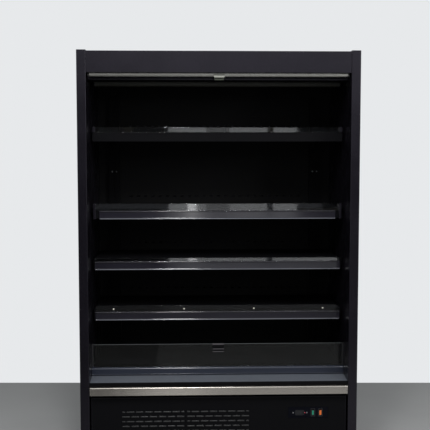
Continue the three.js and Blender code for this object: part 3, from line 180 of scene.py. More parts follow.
# Flags and cards: cloths behind the camera and on the floor before the cabinet. Only gloss
# shows them, so the shine on risers, strips and bumper ends and fades where they stand.
def flag_cloth(name, tone, thread, open_weave=0.0):
    """Cloth with a coarse weave that a reflection blurs. An open weave lets some light through."""
    made = blank(name)
    weave = add(made, "ShaderNodeTexNoise", {"Scale": 30.0})
    shade = add(made, "ShaderNodeMix", {
        "data_type": "RGBA", 6: linear(tone), 7: linear(thread)}, {0: weave.outputs[0]})
    cloth = add(made, "ShaderNodeBsdfDiffuse", {}, {"Color": shade.outputs[2]})
    gaps = add(made, "ShaderNodeBsdfTransparent")
    both = add(made, "ShaderNodeMixShader", {0: open_weave},
               {1: cloth.outputs[0], 2: gaps.outputs[0]})
    add(made, "ShaderNodeOutputMaterial", {}, {"Surface": both.outputs[0]})
    return made


black_flag = flag_cloth("black_flag_cloth", "3a3b3e", "46474a")
charcoal_flag = flag_cloth("charcoal_flag_cloth", "505052", "5c5c5e")
brown_flag = flag_cloth("brown_flag_cloth", "6c645c", "7a7269")
blue_flag = flag_cloth("blue_grey_flag_cloth", "a4a5aa", "b0b2b8")
pale_flag = flag_cloth("pale_grey_flag_cloth", "c0c1c6", "cacbd0")
scrim = flag_cloth("grey_scrim", "808080", "8c8c8c", 0.5)
dark_grey_card = flag_cloth("dark_grey_card", "4c4c4c", "585858")
grey_card = flag_cloth("grey_card", "646464", "707070")
light_grey_card = flag_cloth("light_grey_card", "a6a6a6", "b2b2b2")
white_card = flag_cloth("white_card", "eeeeee", "f8f8f8")
standing, lying = (math.pi / 2, 0, 0), (0, 0, 0)
REAR, SEAM = -6.2, -2.1  # where the flags stand, and where far cards meet near ones
for name, cloth, (x0, x1), (a, b), turn in (
        ("flag_left_low", black_flag, (-4.0, -0.33), (0, 0.76), standing),
        ("flag_left_middle", blue_flag, (-1.17, -0.33), (0.76, 1.2), standing),
        ("flag_left_side", black_flag, (-4.0, -1.17), (0.76, 1.2), standing),
        ("flag_left_high", charcoal_flag, (-4.0, -0.83), (1.2, 2.2), standing),
        ("flag_left_brown", brown_flag, (-0.83, -0.73), (1.2, 2.2), standing),
        ("flag_left_inner", black_flag, (-0.73, -0.33), (1.2, 2.2), standing),
        ("flag_scrim", scrim, (0.10, 0.36), (0.3, 2.1), standing),
        ("flag_post_low", blue_flag, (0.79, 0.86), (0, 1.2), standing),
        ("flag_post_high", brown_flag, (0.79, 0.86), (1.2, 2.1), standing),
        ("flag_right_low", brown_flag, (1.13, 4.0), (0.3, 0.76), standing),
        ("flag_right_middle", pale_flag, (1.13, 1.42), (0.76, 1.2), standing),
        ("flag_right_side", black_flag, (1.42, 4.0), (0.76, 1.2), standing),
        ("flag_right_high", black_flag, (1.13, 4.0), (1.2, 2.08), standing),
        ("card_far_left", dark_grey_card, (-4.5, -0.35), (REAR, SEAM), lying),
        ("card_far_right", grey_card, (-0.35, 4.5), (REAR, SEAM), lying),
        ("card_near_left", grey_card, (-4.5, -0.5), (SEAM, -1.0), lying),
        ("card_near_peak", white_card, (-0.38, -0.06), (SEAM, -1.4), lying),
        ("card_near_right", light_grey_card, (-0.5, 4.5), (SEAM, -1.0), lying)):
    middle = (x0 + x1) / 2
    height = 0.004 if cloth == white_card else 0.002
    place = (middle, (a + b) / 2, height) if turn == lying else (middle, REAR, (a + b) / 2)
    flag = card(name, (x1 - x0, b - a), place, turn, cloth)
    flag.visible_camera = flag.visible_shadow = flag.visible_diffuse = False


# Levelling feet: a zinc-plated threaded stem is screwed up into the base and ends in a
# moulded pad. A hexagon locknut on the stem holds it under the base's floor.
def hold(obj):
    """Makes obj the one selected and active object."""
    bpy.ops.object.select_all(action="DESELECT")
    bpy.context.view_layer.objects.active = obj
    obj.select_set(True)
    return obj


def edit(obj, kind="VERT", action="SELECT"):
    """Opens an object for editing, with all or nothing of its mesh selected."""
    hold(obj)
    bpy.ops.object.mode_set(mode="EDIT")
    bpy.ops.mesh.select_mode(type=kind)
    bpy.ops.mesh.select_all(action=action)


def close():
    """Ends the editing."""
    bpy.ops.object.mode_set(mode="OBJECT")


def settle(name):
    """Names the new object and puts its place into its mesh."""
    obj = hold(bpy.context.object)
    obj.name = name
    bpy.ops.object.transform_apply()
    return obj


def change(obj, kind, **settings):
    """Adds a modifier with its settings and applies it."""
    hold(obj)
    made = obj.modifiers.new(kind.lower(), kind)
    for name, value in settings.items():
        setattr(made, name, value)
    bpy.ops.object.modifier_apply(modifier=made.name)
    return obj


def smoothed(obj, angle=40):
    """Shades curved places smooth and keeps flat faces flat."""
    hold(obj)
    bpy.ops.object.shade_smooth_by_angle(angle=math.radians(angle))
    return change(obj, "WEIGHTED_NORMAL", keep_sharp=True)


def turned(name, outline, place=(0, 0, 0), tilt=(0, 0, 0), sides=32, angle=40):
    """A turned piece: a disc is extruded and resized from one (radius, height) to the next, in
    millimetres, and then tilted and set at its place."""
    radius, height = outline[0]
    bpy.ops.mesh.primitive_circle_add(
        vertices=sides, radius=radius * MM, fill_type="NGON", location=(0, 0, height * MM))
    obj = settle(name)
    edit(obj)
    for wide, high in outline[1:]:
        rise, growth = (0, 0, (high - height) * MM), wide / radius
        bpy.ops.mesh.extrude_region_move(TRANSFORM_OT_translate={"value": rise})
        bpy.ops.transform.resize(value=(growth, growth, 1), center_override=(0, 0, high * MM))
        radius, height = wide, high
    bpy.ops.mesh.select_all(action="SELECT")
    bpy.ops.mesh.normals_make_consistent(inside=False)
    close()
    obj.rotation_euler = [math.radians(a) for a in tilt]
    obj.location = [c * MM for c in place]
    bpy.ops.object.transform_apply()
    return smoothed(obj, angle)


def copied(obj, name, shift, tilt=(0, 0, 0)):
    """A copy with its own mesh, tilted and then moved by so many millimetres."""
    hold(obj)
    bpy.ops.object.duplicate()
    bpy.context.object.rotation_euler = [math.radians(a) for a in tilt]
    bpy.context.object.location = [c * MM for c in shift]
    return settle(name)


def box_mm(name):
    """The two corners of a CAD node's box, in millimetres."""
    return [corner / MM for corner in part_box(name)]


def fit(obj, finish, body="cabinet"):
    """Gives a piece its finish, and lets it ride on its body."""
    obj.data.materials.clear()
    obj.data.materials.append(finish)
    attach(obj, body)
    return obj


def grained(name, tones, grain, relief, gloss, patch=140, stretch=(1, 1, 1), **shader):
    """A finish whose tone, roughness and fine relief follow a grain of a real size in
    millimetres, over broad patches where handling and cleaning leave it uneven."""
    made = blank(name)
    place = add(made, "ShaderNodeTexCoord")
    along = add(made, "ShaderNodeMapping", {"Scale": stretch}, {"Vector": place.outputs["Object"]})
    fine = add(made, "ShaderNodeTexNoise", {"Scale": 1000 / grain, "Detail": 3.0},
               {"Vector": along.outputs[0]})
    broad = add(made, "ShaderNodeTexNoise", {"Scale": 1000 / patch, "Detail": 2.0},
                {"Vector": place.outputs["Object"]})
    both = add(made, "ShaderNodeMix", {0: 0.5}, {2: fine.outputs[0], 3: broad.outputs[0]})
    tone = add(made, "ShaderNodeMix", {
        "data_type": "RGBA", 6: linear(tones[0]), 7: linear(tones[1])}, {0: both.outputs[0]})
    rough = add(made, "ShaderNodeMapRange", {
        "From Min": 0.3, "From Max": 0.7, "To Min": gloss[0], "To Max": gloss[1]},
        {"Value": both.outputs[0]})
    bump = add(made, "ShaderNodeBump", {"Strength": 0.5, "Distance": relief * MM},
               {"Height": fine.outputs[0]})
    skin = add(made, "ShaderNodeBsdfPrincipled", {
        key.replace("_", " "): value for key, value in shader.items()}, {
        "Base Color": tone.outputs[2], "Roughness": rough.outputs[0], "Normal": bump.outputs[0]})
    add(made, "ShaderNodeOutputMaterial", {}, {"Surface": skin.outputs[0]})
    return made


# Zinc plate on turned steel: a cool, slightly cloudy metal shine with fine tool marks.
zinc = grained("zinc_plated_steel", ("8f9396", "a9acae"), 0.8, 0.02, (0.3, 0.45), Metallic=1.0)
# Injection moulded black nylon: dark, soft sheen, with the mould's fine spark grain.
nylon = grained("moulded_black_nylon", ("101011", "17171a"), 0.7, 0.05, (0.42, 0.55))
pad = turned("foot_pad", [(23, 0), (25.2, 0.5), (26, 2), (26, 5), (24, 6.4), (13, 10), (8, 10.6)])
THREAD_TURNS, THREAD_PITCH = 28, 1.75
thread = [(5.6, 9.8), (6, 11)]
for turn in range(THREAD_TURNS):
    thread += [(6, 12 + turn * THREAD_PITCH), (5.2, 12.9 + turn * THREAD_PITCH)]
stem = turned("foot_stem", thread + [(4.6, 62)], sides=20)
nut = turned("foot_locknut", [(8.6, 31.4), (10.4, 32.4), (10.4, 38.6), (8.6, 39.6)],
             sides=6, angle=20)
for foot in ("foot_front_left", "foot_front_right", "foot_rear_left", "foot_rear_right"):
    low, high = box_mm(foot)
    shift = ((low.x + high.x) / 2, (low.y + high.y) / 2, 0)
    for start, part, finish, slot in (
            (pad, "_pad", nylon, "black_plastic"), (stem, "_stem", zinc, "zinc_plate"),
            (nut, "_locknut", zinc, "zinc_plate")):
        fit(copied(start, foot + part, shift), finish, foot)
    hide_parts(foot)
for start in (pad, stem, nut):
    bpy.data.objects.remove(start)


# Base frame: a folded and welded steel tray with a kick flange, four posts and a vented rear
# wall. It is powder coated black, like the rest of the outside.
def rounded(obj, width, segments=3, angle=40):
    """Rounds every edge sharper than the angle by so many millimetres."""
    change(obj, "BEVEL", width=width * MM, segments=segments, limit_method="ANGLE",
           angle_limit=math.radians(angle), miter_outer="MITER_ARC")
    return smoothed(obj, angle)


def slab(name, low, high, rounding=0, segments=3):
    """A block between two corners, in millimetres, with rounded edges."""
    bpy.ops.mesh.primitive_cube_add(
        size=1, location=[(a + b) / 2 * MM for a, b in zip(low, high)],
        scale=[(b - a) * MM for a, b in zip(low, high)])
    obj = settle(name)
    return rounded(obj, rounding, segments) if rounding else obj


def joined(name, *pieces):
    """Several pieces made one."""
    hold(pieces[0])
    for piece in pieces[1:]:
        piece.select_set(True)
    bpy.ops.object.join()
    return settle(name)


def dress(finish, *names):
    """Gives CAD nodes their finish."""
    for name in names:
        nodes[name].data.materials.clear()
        nodes[name].data.materials.append(finish)


def softened(node, width=0.6, segments=3, angle=40):
    """A merged copy of a CAD node that stands for it, its edges rounded by so many millimetres."""
    hold(nodes[node])
    bpy.ops.object.duplicate()
    obj = bpy.context.object
    obj.parent = None
    obj.name = node + "_formed"
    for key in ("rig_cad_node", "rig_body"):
        del obj[key]
    edit(obj)
    bpy.ops.mesh.remove_doubles(threshold=0.00002)
    bpy.ops.mesh.dissolve_limited(angle_limit=math.radians(1))
    close()
    rounded(obj, width, segments, angle)
    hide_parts(node)
    return obj


# Powder coat, satin black: a fine orange peel about 1.5 mm across that breaks the sheen up.
outer_coat = grained("satin_black_powder_coat", ("08070a", "0d0b11"), 1.5, 0.06, (0.22, 0.32),
                     Specular_IOR_Level=0.38, Specular_Tint=linear("f2edff"))
dress(outer_coat, "base_frame")

# Pan-head screws: bright zinc, with a shallow domed head and a cross recess.
screw = turned("screw", [(3.6, 0), (3.6, 0.9), (2.9, 1.7), (1.5, 2.1)], sides=12, angle=50)
recess_a = slab("screw_recess_a", (-1.9, -0.35, 1.75), (1.9, 0.35, 2.15))
recess_b = slab("screw_recess_b", (-0.35, -1.9, 1.75), (0.35, 1.9, 2.15))
screw.data.materials.append(zinc)
for recess in (recess_a, recess_b):
    recess.data.materials.append(nylon)
screw = joined("screw", screw, recess_a, recess_b)


def screws(name, places, tilt=(90, 0, 0)):
    """Screws set in the cabinet at places in millimetres, their heads turned by tilt."""
    whole = joined(name, *[copied(screw, name, place, tilt) for place in places])
    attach(whole, "cabinet")


FLANGE_Y, FLANGE_SCREW_Z = -320, 66
screws("base_screws", [(x, FLANGE_Y, FLANGE_SCREW_Z) for x in (-150, -520, 150, 520)])


# Condenser: copper hairpins run through a block of aluminium fins between two zinc plates. A
# folded shroud carries the fan's motor on three arms, inside a wire guard.
def row_of(obj, count, shift):
    """Repeats a piece in a row, each so many millimetres on from the last."""
    return change(obj, "ARRAY", count=count, use_relative_offset=False, use_constant_offset=True,
                  constant_offset_displace=[c * MM for c in shift])


def ring(name, radius, thick, place, around, across):
    """An upright ring of round bar or tube, in millimetres, facing front."""
    bpy.ops.mesh.primitive_torus_add(
        major_radius=radius * MM, minor_radius=thick / 2 * MM, major_segments=around,
        minor_segments=across, location=[c * MM for c in place], rotation=(math.pi / 2, 0, 0))
    return settle(name)


def cut(obj, place, normal):
    """Takes away what lies behind a plane through a place in millimetres, and caps the cut."""
    edit(obj)
    bpy.ops.mesh.bisect(plane_co=[c * MM for c in place], plane_no=normal,
                        clear_inner=True, use_fill=True)
    close()
    return obj


def hairpins(name, x, side, ys, z0, pitch, count):
    """Half rings of tube that join neighbouring runs at one end of a finned block."""
    made = []
    for y in ys:
        bend = ring(name, pitch / 2, TUBE, (x, y, z0 + pitch / 2), around=20, across=10)
        made.append(row_of(cut(bend, (x, 0, 0), (side, 0, 0)), count, (0, 0, 2 * pitch)))
    return smoothed(joined(name, *made))


# Rolled aluminium fin stock: pale, with a satin metal shine and faint rolling lines.
fin_stock = grained("rolled_aluminium_fins", ("8d9194", "a5a8aa"), 1.2, 0.01, (0.32, 0.45),
                    Metallic=1.0)
# Copper tube: warm red-brown, dulled by handling and flux.
copper = grained("copper_tube", ("7b4a33", "a3664a"), 2.5, 0.01, (0.28, 0.45), patch=40,
                 Metallic=1.0)
# Air-dried black enamel on sheet and cast parts: fairly glossy, with a little dust.
enamel = grained("black_enamel", ("0d0d0e", "161617"), 3.0, 0.04, (0.25, 0.42), patch=60)
low, high = box_mm("condenser")
TUBE = 9.5
FIN_DEPTH, FIN_HEIGHT, FIN_PITCH, FINS = 44, 250, 3.5, 151
fin_rear = low.y + FIN_DEPTH
fin_top = low.z + FIN_HEIGHT
fin = slab("condenser_fins", (low.x + 6, low.y + 0.5, low.z + 3),
           (low.x + 6.5, fin_rear, fin_top - 3))
fit(row_of(fin, FINS, (FIN_PITCH, 0, 0)), fin_stock)
for x, end in ((low.x + 1, "left"), (high.x - 3, "right")):
    plate = slab(f"condenser_end_plate_{end}", (x, low.y, low.z), (x + 2, fin_rear, fin_top), 0.4)
    fit(plate, zinc)
for x, side, end in ((low.x + 1, -1, "left"), (high.x - 1, 1, "right")):
    bends = hairpins(f"condenser_bends_{end}", x, side, (low.y + 11, low.y + 33),
                     low.z + 12.5, pitch=25, count=5)
    fit(bends, copper)
shroud = cut(softened("condenser", 0.5), (0, fin_rear + 0.6, 0), (0, 1, 0))
fit(shroud, enamel)
GUARD_WIRE = 2.2
fan_x, fan_z = (low.x + high.x) / 2, low.z + FIN_HEIGHT / 2
wires = [ring("guard_ring", radius, GUARD_WIRE, (fan_x, fin_rear + 45, fan_z), around=48, across=6)
         for radius in (40, 62, 84, 104)]
for spoke in range(6):
    wires.append(turned("guard_wire", [(GUARD_WIRE / 2, 36), (GUARD_WIRE / 2, 108)],
                        (fan_x, fin_rear + 46.5, fan_z), (0, 30 + 60 * spoke, 0), sides=6))
fit(smoothed(joined("condenser_fan_guard", *wires)), enamel)
fit(softened("condenser_fan", 0.5), nylon, "condenser_fan")


# Compressor: a hermetic welded steel can on a bolted foot plate with rubber grommets. Copper
# suction and discharge pipes leave it, and a clip-on cover hides its terminals.
def pipe(name, points, radius):
    """A bent tube through points in millimetres."""
    line = bpy.data.curves.new(name, "CURVE")
    line.dimensions = "3D"
    line.bevel_depth = radius * MM
    line.bevel_resolution = 3
    line.use_fill_caps = True
    spline = line.splines.new("NURBS")
    spline.points.add(len(points) - 1)
    for point, place in zip(spline.points, points):
        point.co = (*[c * MM for c in place], 1)
    spline.order_u = 3
    spline.use_endpoint_u = True
    spline.resolution_u = 6
    obj = bpy.data.objects.new(name, line)
    bpy.context.collection.objects.link(obj)
    hold(obj)
    bpy.ops.object.convert(target="MESH")
    return smoothed(settle(name))


low, high = box_mm("compressor")
PLATE_HALF, COVER_HALF = 85, 28
can_x, can_y = (low.x + high.x) / 2, high.y - PLATE_HALF
can_low, can_top, can_radius, dome = low.z + 12, high.z, 82, 37
arc = [math.radians(9 * step) for step in range(11)]
outline = [(max(4, can_radius * math.sin(a)), can_low + dome * (1 - math.cos(a))) for a in arc]
seam = (can_low + can_top) / 2 + 22
outline += [(can_radius, seam - 4), (can_radius + 1.6, seam - 2.5), (can_radius + 1.6, seam + 2.5),
            (can_radius, seam + 4)]
outline += [(max(4, can_radius * math.cos(a)), can_top - dome * (1 - math.sin(a))) for a in arc]
can = turned("compressor_can", outline, (can_x, can_y, 0), sides=56)
fit(can, enamel)
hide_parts("compressor")
skirt = turned("compressor_skirt", [(49, low.z + 3), (47, low.z + 20), (49, low.z + 46)],
               (can_x, can_y, 0))
fit(skirt, enamel)
foot_plate = slab("compressor_plate", (low.x, can_y - PLATE_HALF, low.z),
                  (high.x, can_y + PLATE_HALF, low.z + 4), 1)
fit(foot_plate, zinc)
# Natural rubber: matt and nearly black.
rubber = grained("black_rubber", ("0f0f0f", "161616"), 1.5, 0.05, (0.7, 0.85))
grommet = turned("grommet", [(11, 0), (12, 1.5), (12, 5), (8, 6.5), (8, 9), (10, 10), (9, 12)],
                 sides=20)
bolt = turned("grommet_bolt", [(6, 12), (6.4, 12.8), (6.4, 17.6), (5.6, 18.4)], sides=6, angle=20)
plate_corners = [(can_x + u * 90, can_y + v * 70, low.z + 4) for u in (-1, 1) for v in (-1, 1)]
for name, start, finish, slot in (("grommets", grommet, rubber, "black_plastic"),
                                  ("bolts", bolt, zinc, "zinc_plate")):
    four = joined("compressor_" + name, *[copied(start, name, place) for place in plate_corners])
    fit(four, finish)
for start in (grommet, bolt):
    bpy.data.objects.remove(start)
mid = (low.z + 4 + can_top) / 2
cover = slab("compressor_terminal_cover", (can_x - COVER_HALF, low.y, mid - COVER_HALF),
             (can_x + COVER_HALF, can_y - 70, mid + COVER_HALF), 5, 4)
fit(cover, nylon)
condenser_end = box_mm("condenser")[1]
for name, radius, points in (
        ("discharge_pipe", 3.2, [
            (can_x - 60, can_y - 20, can_top - 60), (can_x - 110, can_y - 30, can_top - 60),
            (can_x - 150, can_y - 60, can_top - 40), (can_x - 150, can_y - 250, can_top - 30),
            (can_x - 150, condenser_end.y - 100, can_top - 20),
            (condenser_end.x + 30, condenser_end.y - 104, 280),
            (condenser_end.x + 8, condenser_end.y - 104, 280)]),
        ("suction_pipe", 5, [
            (can_x + 50, can_y + 20, can_top - 50), (can_x + 100, can_y + 40, can_top - 50),
            (can_x + 130, can_y + 50, can_top - 20), (can_x + 130, can_y + 50, 320),
            (can_x + 130, can_y + 50, 344)]),
        ("charging_tube", 3.2, [
            (can_x + 20, can_y + 60, can_top - 30), (can_x + 40, can_y + 90, can_top - 20),
            (can_x + 45, can_y + 100, can_top + 10), (can_x + 45, can_y + 100, can_top + 40)])):
    fit(pipe(name, points, radius), copper)


# Insulated well: a foamed trough lined with coated sheet, with a drain spigot through its
# floor. The finned evaporator lies in it, and its fan blows the returned air through the fins.
# Interior powder coat, matt black: even, with hardly any sheen, so the inside stays dark.
inner_coat = grained("matt_black_powder_coat", ("060608", "0a0a0c"), 1.2, 0.05, (0.5, 0.62),
                     Specular_IOR_Level=0.07)
dress(inner_coat, "insulated_well")
drain_x, drain_y = 292, box_mm("insulated_well")[0].y + 84
spigot = turned("drain_spigot", [
    (9.5, 330), (12, 330), (12, 343), (13.6, 343), (13.6, 386), (10, 386.4), (9.5, 386)],
    (drain_x, drain_y, 0), sides=24)
fit(spigot, nylon)
low, high = box_mm("evaporator")
CORE_DEPTH, CORE_PITCH, CORE_FINS = 150, 4.18, 239
core_front = high.y - CORE_DEPTH
fin = slab("evaporator_fins", (low.x + 6, core_front, low.z + 3),
           (low.x + 6.5, high.y - 0.4, high.z - 3))
fit(row_of(fin, CORE_FINS, (CORE_PITCH, 0, 0)), fin_stock)
for x, side, end in ((low.x + 2, -1, "left"), (high.x - 2, 1, "right")):
    bends = hairpins(f"evaporator_bends_{end}", x, side,
                     [core_front + 15 + 30 * run for run in range(5)],
                     low.z + 18, pitch=26, count=1)
    fit(bends, copper)
# The block's long faces go, and its two ends stay as end plates.
LONG_FACE = 0.5
plates = softened("evaporator", 0.5)
edit(plates, action="DESELECT")
mesh = bmesh.from_edit_mesh(plates.data)
for face in mesh.faces:
    spans = [v.co.x for v in face.verts]
    face.select_set(max(spans) - min(spans) > LONG_FACE)
bmesh.update_edit_mesh(plates.data)
bpy.ops.mesh.delete(type="FACE")
bpy.ops.mesh.select_all(action="SELECT")
bpy.ops.mesh.edge_face_add()
close()
fit(plates, zinc)
fit(softened("evaporator_fan", 0.5), nylon, "evaporator_fan")


# End panels: two foamed side walls in folded sheet steel, powder coated. Their front and rear
# edges are folded round, and their seams lie inside.
for side in ("left", "right"):
    fit(softened("end_panel_" + side, 1.0), outer_coat)


# Back and roof: foamed panels in coated steel. The back's skin is pressed in between its
# edges, and three rows of screws hold it.
def pick(obj, test):
    """In edit mode, selects the faces whose middle and normal pass a test."""
    edit(obj, "FACE", "DESELECT")
    mesh = bmesh.from_edit_mesh(obj.data)
    for face in mesh.faces:
        face.select_set(bool(test(face.calc_center_median(), face.normal)))
    bmesh.update_edit_mesh(obj.data)


low, high = box_mm("back_panel")
back = slab("back_panel_formed", low, high)
pick(back, lambda middle, normal: normal.y > 0.9)
bpy.ops.mesh.inset(thickness=28 * MM)
bpy.ops.mesh.inset(thickness=4 * MM, depth=-2.5 * MM)
close()
rounded(back, 0.8, angle=20)
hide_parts("back_panel")
fit(back, outer_coat)
LOWEST_SCREW, SCREW_PITCH = 430, 235
screws("back_screws", [
    (x, high.y - 2.5, LOWEST_SCREW + row * SCREW_PITCH)
    for x in (-530, 0, 530) for row in range(7)], (-90, 0, 0))
# Dusty powder coat: the roof gathers dust, which dulls its shine and greys it in patches.
dusty_coat = grained("dusty_black_powder_coat", ("121115", "1e1d21"), 3.0, 0.06, (0.6, 0.75),
                     Specular_IOR_Level=0.08)
fit(softened("roof_panel", 1.0), dusty_coat)


# Duct panel and uprights: a perforated sheet that feeds cold air between the shelves, and two
# slotted channels screwed through it to the back.
# Worn duct powder coat: a shade paler than the uprights, which stand out dark before it.
duct_coat = grained("worn_black_powder_coat", ("0b0b0c", "111112"), 1.2, 0.05, (0.5, 0.62),
                    Specular_IOR_Level=0.1)
dress(duct_coat, "rear_duct_panel")
dress(inner_coat, "upright_left", "upright_right")
low, high = box_mm("upright_left")
upright_x = -(low.x + high.x) / 2
UPRIGHT_SCREW_Z = 1374
screws("upright_screws", [
    (side * upright_x + shift, low.y, UPRIGHT_SCREW_Z)
    for side in (-1, 1) for shift in (-10.5, 10.5)])


# Ceiling and honeycomb: a folded ceiling sheet, and in front of it a frame of moulded
# honeycomb that straightens the falling air curtain.
fit(softened("ceiling_panel", 0.5), inner_coat)
# Matt black nylon: the cells' soot-black moulding hardly shines.
matt_nylon = grained("matt_black_nylon", ("060607", "09090a"), 0.7, 0.05, (0.6, 0.7),
                     Specular_IOR_Level=0.08)
dress(matt_nylon, "air_honeycomb")
low, high = box_mm("air_honeycomb")
CELL_RADIUS, CELL_STEP, CELL_ROW = 7.3, 12.9, 11.2
cell = turned("air_honeycomb_cells", [(CELL_RADIUS, low.z + 1), (CELL_RADIUS, high.z - 1)],
              (low.x + 10, low.y + 8, 0), sides=6)
pick(cell, lambda middle, normal: abs(normal.z) > 0.9)
bpy.ops.mesh.delete(type="FACE")
close()
cells = row_of(cell, 90, (CELL_STEP, 0, 0))
second_row = copied(cells, "second_row", (CELL_STEP / 2, CELL_ROW, 0))
cells = row_of(joined("air_honeycomb_cells", cells, second_row), 2, (0, 2 * CELL_ROW, 0))
change(cells, "SOLIDIFY", thickness=0.5 * MM, offset=0)
fit(cells, matt_nylon)


# Canopy lamp: a slim housing under the ceiling with a clip-on frosted cover, not lit, and a
# moulded cap at each end.
# Lamp cover acrylic, unlit: dark olive, with a soft even sheen.
lamp_acrylic = grained("frosted_lamp_cover", ("1f1f19", "262620"), 1.0, 0.02, (0.4, 0.5))
low, high = box_mm("canopy_lamp")
fit(softened("canopy_lamp", 1.5, 4, 25), lamp_acrylic)
CAP = 9
for x, end in ((low.x, "left"), (high.x - CAP, "right")):
    cap = slab("canopy_lamp_cap_" + end, (x, low.y - 0.6, low.z - 0.6),
               (x + CAP, high.y + 0.6, high.z), 4, 4)
    fit(cap, nylon)


# Canopy fascia: one sheet of coated steel, folded over the blind's housing. Its lower edge is
# returned inwards, so the blind's bar closes against a fold.
fit(softened("canopy_fascia", 0.9), outer_coat)


# Night blind: coated cloth on a spring roller with plastic ends. Its bar is an aluminium
# extrusion with an end cap at each end, and the moulded grip is clipped over the bar.
# Coated cloth: silver-grey and matt, its 1 mm threads drawn 2 mm apart so that they show.
blind_cloth = blank("coated_blind_cloth")
cloth_place = add(blind_cloth, "ShaderNodeUVMap")
weft, warp = [add(blind_cloth, "ShaderNodeTexWave", {
    "bands_direction": way, "Scale": 160.0, "Distortion": 0.4},
    {"Vector": cloth_place.outputs[0]}) for way in "YX"]
weave = add(blind_cloth, "ShaderNodeMath", {"operation": "MULTIPLY"},
            {0: weft.outputs[1], 1: warp.outputs[1]})
thread_tone = add(blind_cloth, "ShaderNodeMix", {
    "data_type": "RGBA", 6: linear("8e9191"), 7: linear("b9bcbc")}, {0: weave.outputs[0]})
thread_relief = add(blind_cloth, "ShaderNodeBump", {"Strength": 0.4, "Distance": 0.0003},
                    {"Height": weave.outputs[0]})
cloth_skin = add(blind_cloth, "ShaderNodeBsdfPrincipled", {"Roughness": 0.75}, {
    "Base Color": thread_tone.outputs[2], "Normal": thread_relief.outputs[0]})
add(blind_cloth, "ShaderNodeOutputMaterial", {}, {"Surface": cloth_skin.outputs[0]})

low, high = box_mm("blind_fabric")
roll_low, roll_high = box_mm("blind_roller")
roll_y, roll_z = (roll_low.y + roll_high.y) / 2, (roll_low.z + roll_high.z) / 2
wound = roll_high.z - roll_z
BLIND_PULL = 1219


def cloth_map(obj, down=1):
    """Lays the cloth's map out in metres: across, from 1 m left of its middle, and down it or
    round it. A run drawn out to so many times its length has it packed as closely."""
    layer = obj.data.uv_layers.get("UVMap") or obj.data.uv_layers.new(name="UVMap")
    for loop in obj.data.loops:
        place = obj.data.vertices[loop.vertex_index].co
        layer.data[loop.index].uv = (place.x + 1, place.z * down)


def bevel_edges(obj, test, width, segments):
    """Rounds the edges whose middle passes a test."""
    edit(obj, "EDGE", "DESELECT")
    mesh = bmesh.from_edit_mesh(obj.data)
    for edge in mesh.edges:
        edge.select_set(test((edge.verts[0].co + edge.verts[1].co) / 2 / MM))
    bmesh.update_edit_mesh(obj.data)
    bpy.ops.mesh.bevel(offset=width * MM, segments=segments, affect="EDGES")
    close()


def both_ends(end):
    """A turned outline from one end's (radius, distance from the middle) and its mirror."""
    return [(radius, -away) for radius, away in end] + end[::-1]


half = high.x
roll = turned("blind_roll_wound", both_ends([
    (wound - 2.5, half), (wound - 0.6, half - 0.6), (wound, half - 1.5), (wound, half / 3)]),
    (0, roll_y, roll_z), (0, 90, 0), sides=48)
cloth_map(roll)
fit(roll, blind_cloth, "blind_roller")
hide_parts("blind_roller")
pins = turned("blind_roller_pins", both_ends([
    (5, roll_high.x), (5, half + 4), (14, half + 3.5), (14, half - 1), (9, half - 2)]),
    (0, roll_y, roll_z), (0, 90, 0), sides=24)
fit(pins, nylon, "blind_roller")

cloth_y = (low.y + high.y) / 2
bpy.ops.mesh.primitive_grid_add(
    x_subdivisions=20, y_subdivisions=16, size=1,
    location=(0, cloth_y * MM, (low.z + high.z) / 2 * MM), rotation=(math.pi / 2, 0, 0))
bpy.context.object.scale = (2 * half * MM, (high.z - low.z) * MM, 1)
cloth = settle("blind_cloth_run")
cloth_map(cloth, (high.z - low.z + BLIND_PULL) / (high.z - low.z))
change(cloth, "SOLIDIFY", thickness=0.6 * MM, offset=0)
cloth.data.materials.append(blind_cloth)
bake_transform(cloth)
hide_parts("blind_fabric")

# Anodised aluminium extrusion: satin, drawn lengthways, so its fine lines run along the bar.
anodised = grained("anodised_aluminium", ("9c9b96", "b0afa9"), 1.0, 0.01, (0.3, 0.42),
                   stretch=(0.02, 1, 1), Metallic=1.0)
low, high = box_mm("blind_bar")
bar = slab("blind_bar_formed", low, high)
bevel_edges(bar, lambda p: p.y < low.y + 0.1 and p.z < low.z + 0.1, 7, 8)
rounded(bar, 1.2)
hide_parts("blind_bar")
fit(bar, anodised, "blind")
for x, end in ((low.x - 0.4, "left"), (high.x - CAP + 0.4, "right")):
    cap = slab("blind_bar_cap_" + end, (x, low.y - 0.4, low.z - 0.4),
               (x + CAP, high.y + 0.4, high.z + 0.4), 3, 4)
    fit(cap, nylon, "blind")
# Moulded grey ABS: pale, soft sheen. The tongue is olive, and its darker tone is painted shade for
# the shadow it hangs in behind the bar.
grey_abs = grained("moulded_grey_abs", ("868780", "94958e"), 0.8, 0.04, (0.22, 0.32))
tongue_painted_shade = grained("olive_tongue_painted_shade", ("33372e", "3c4036"), 0.8, 0.04, (0.35, 0.48))


def part_finish(obj, finish, test, margin=0):
    """Gives the faces that pass a test another finish, up to a margin in millimetres."""
    pick(obj, test)
    if margin:
        bpy.ops.mesh.inset(thickness=margin * MM)
    obj.data.materials.append(finish)
    obj.active_material_index = len(obj.data.materials) - 1
    bpy.ops.object.material_slot_assign()
    close()


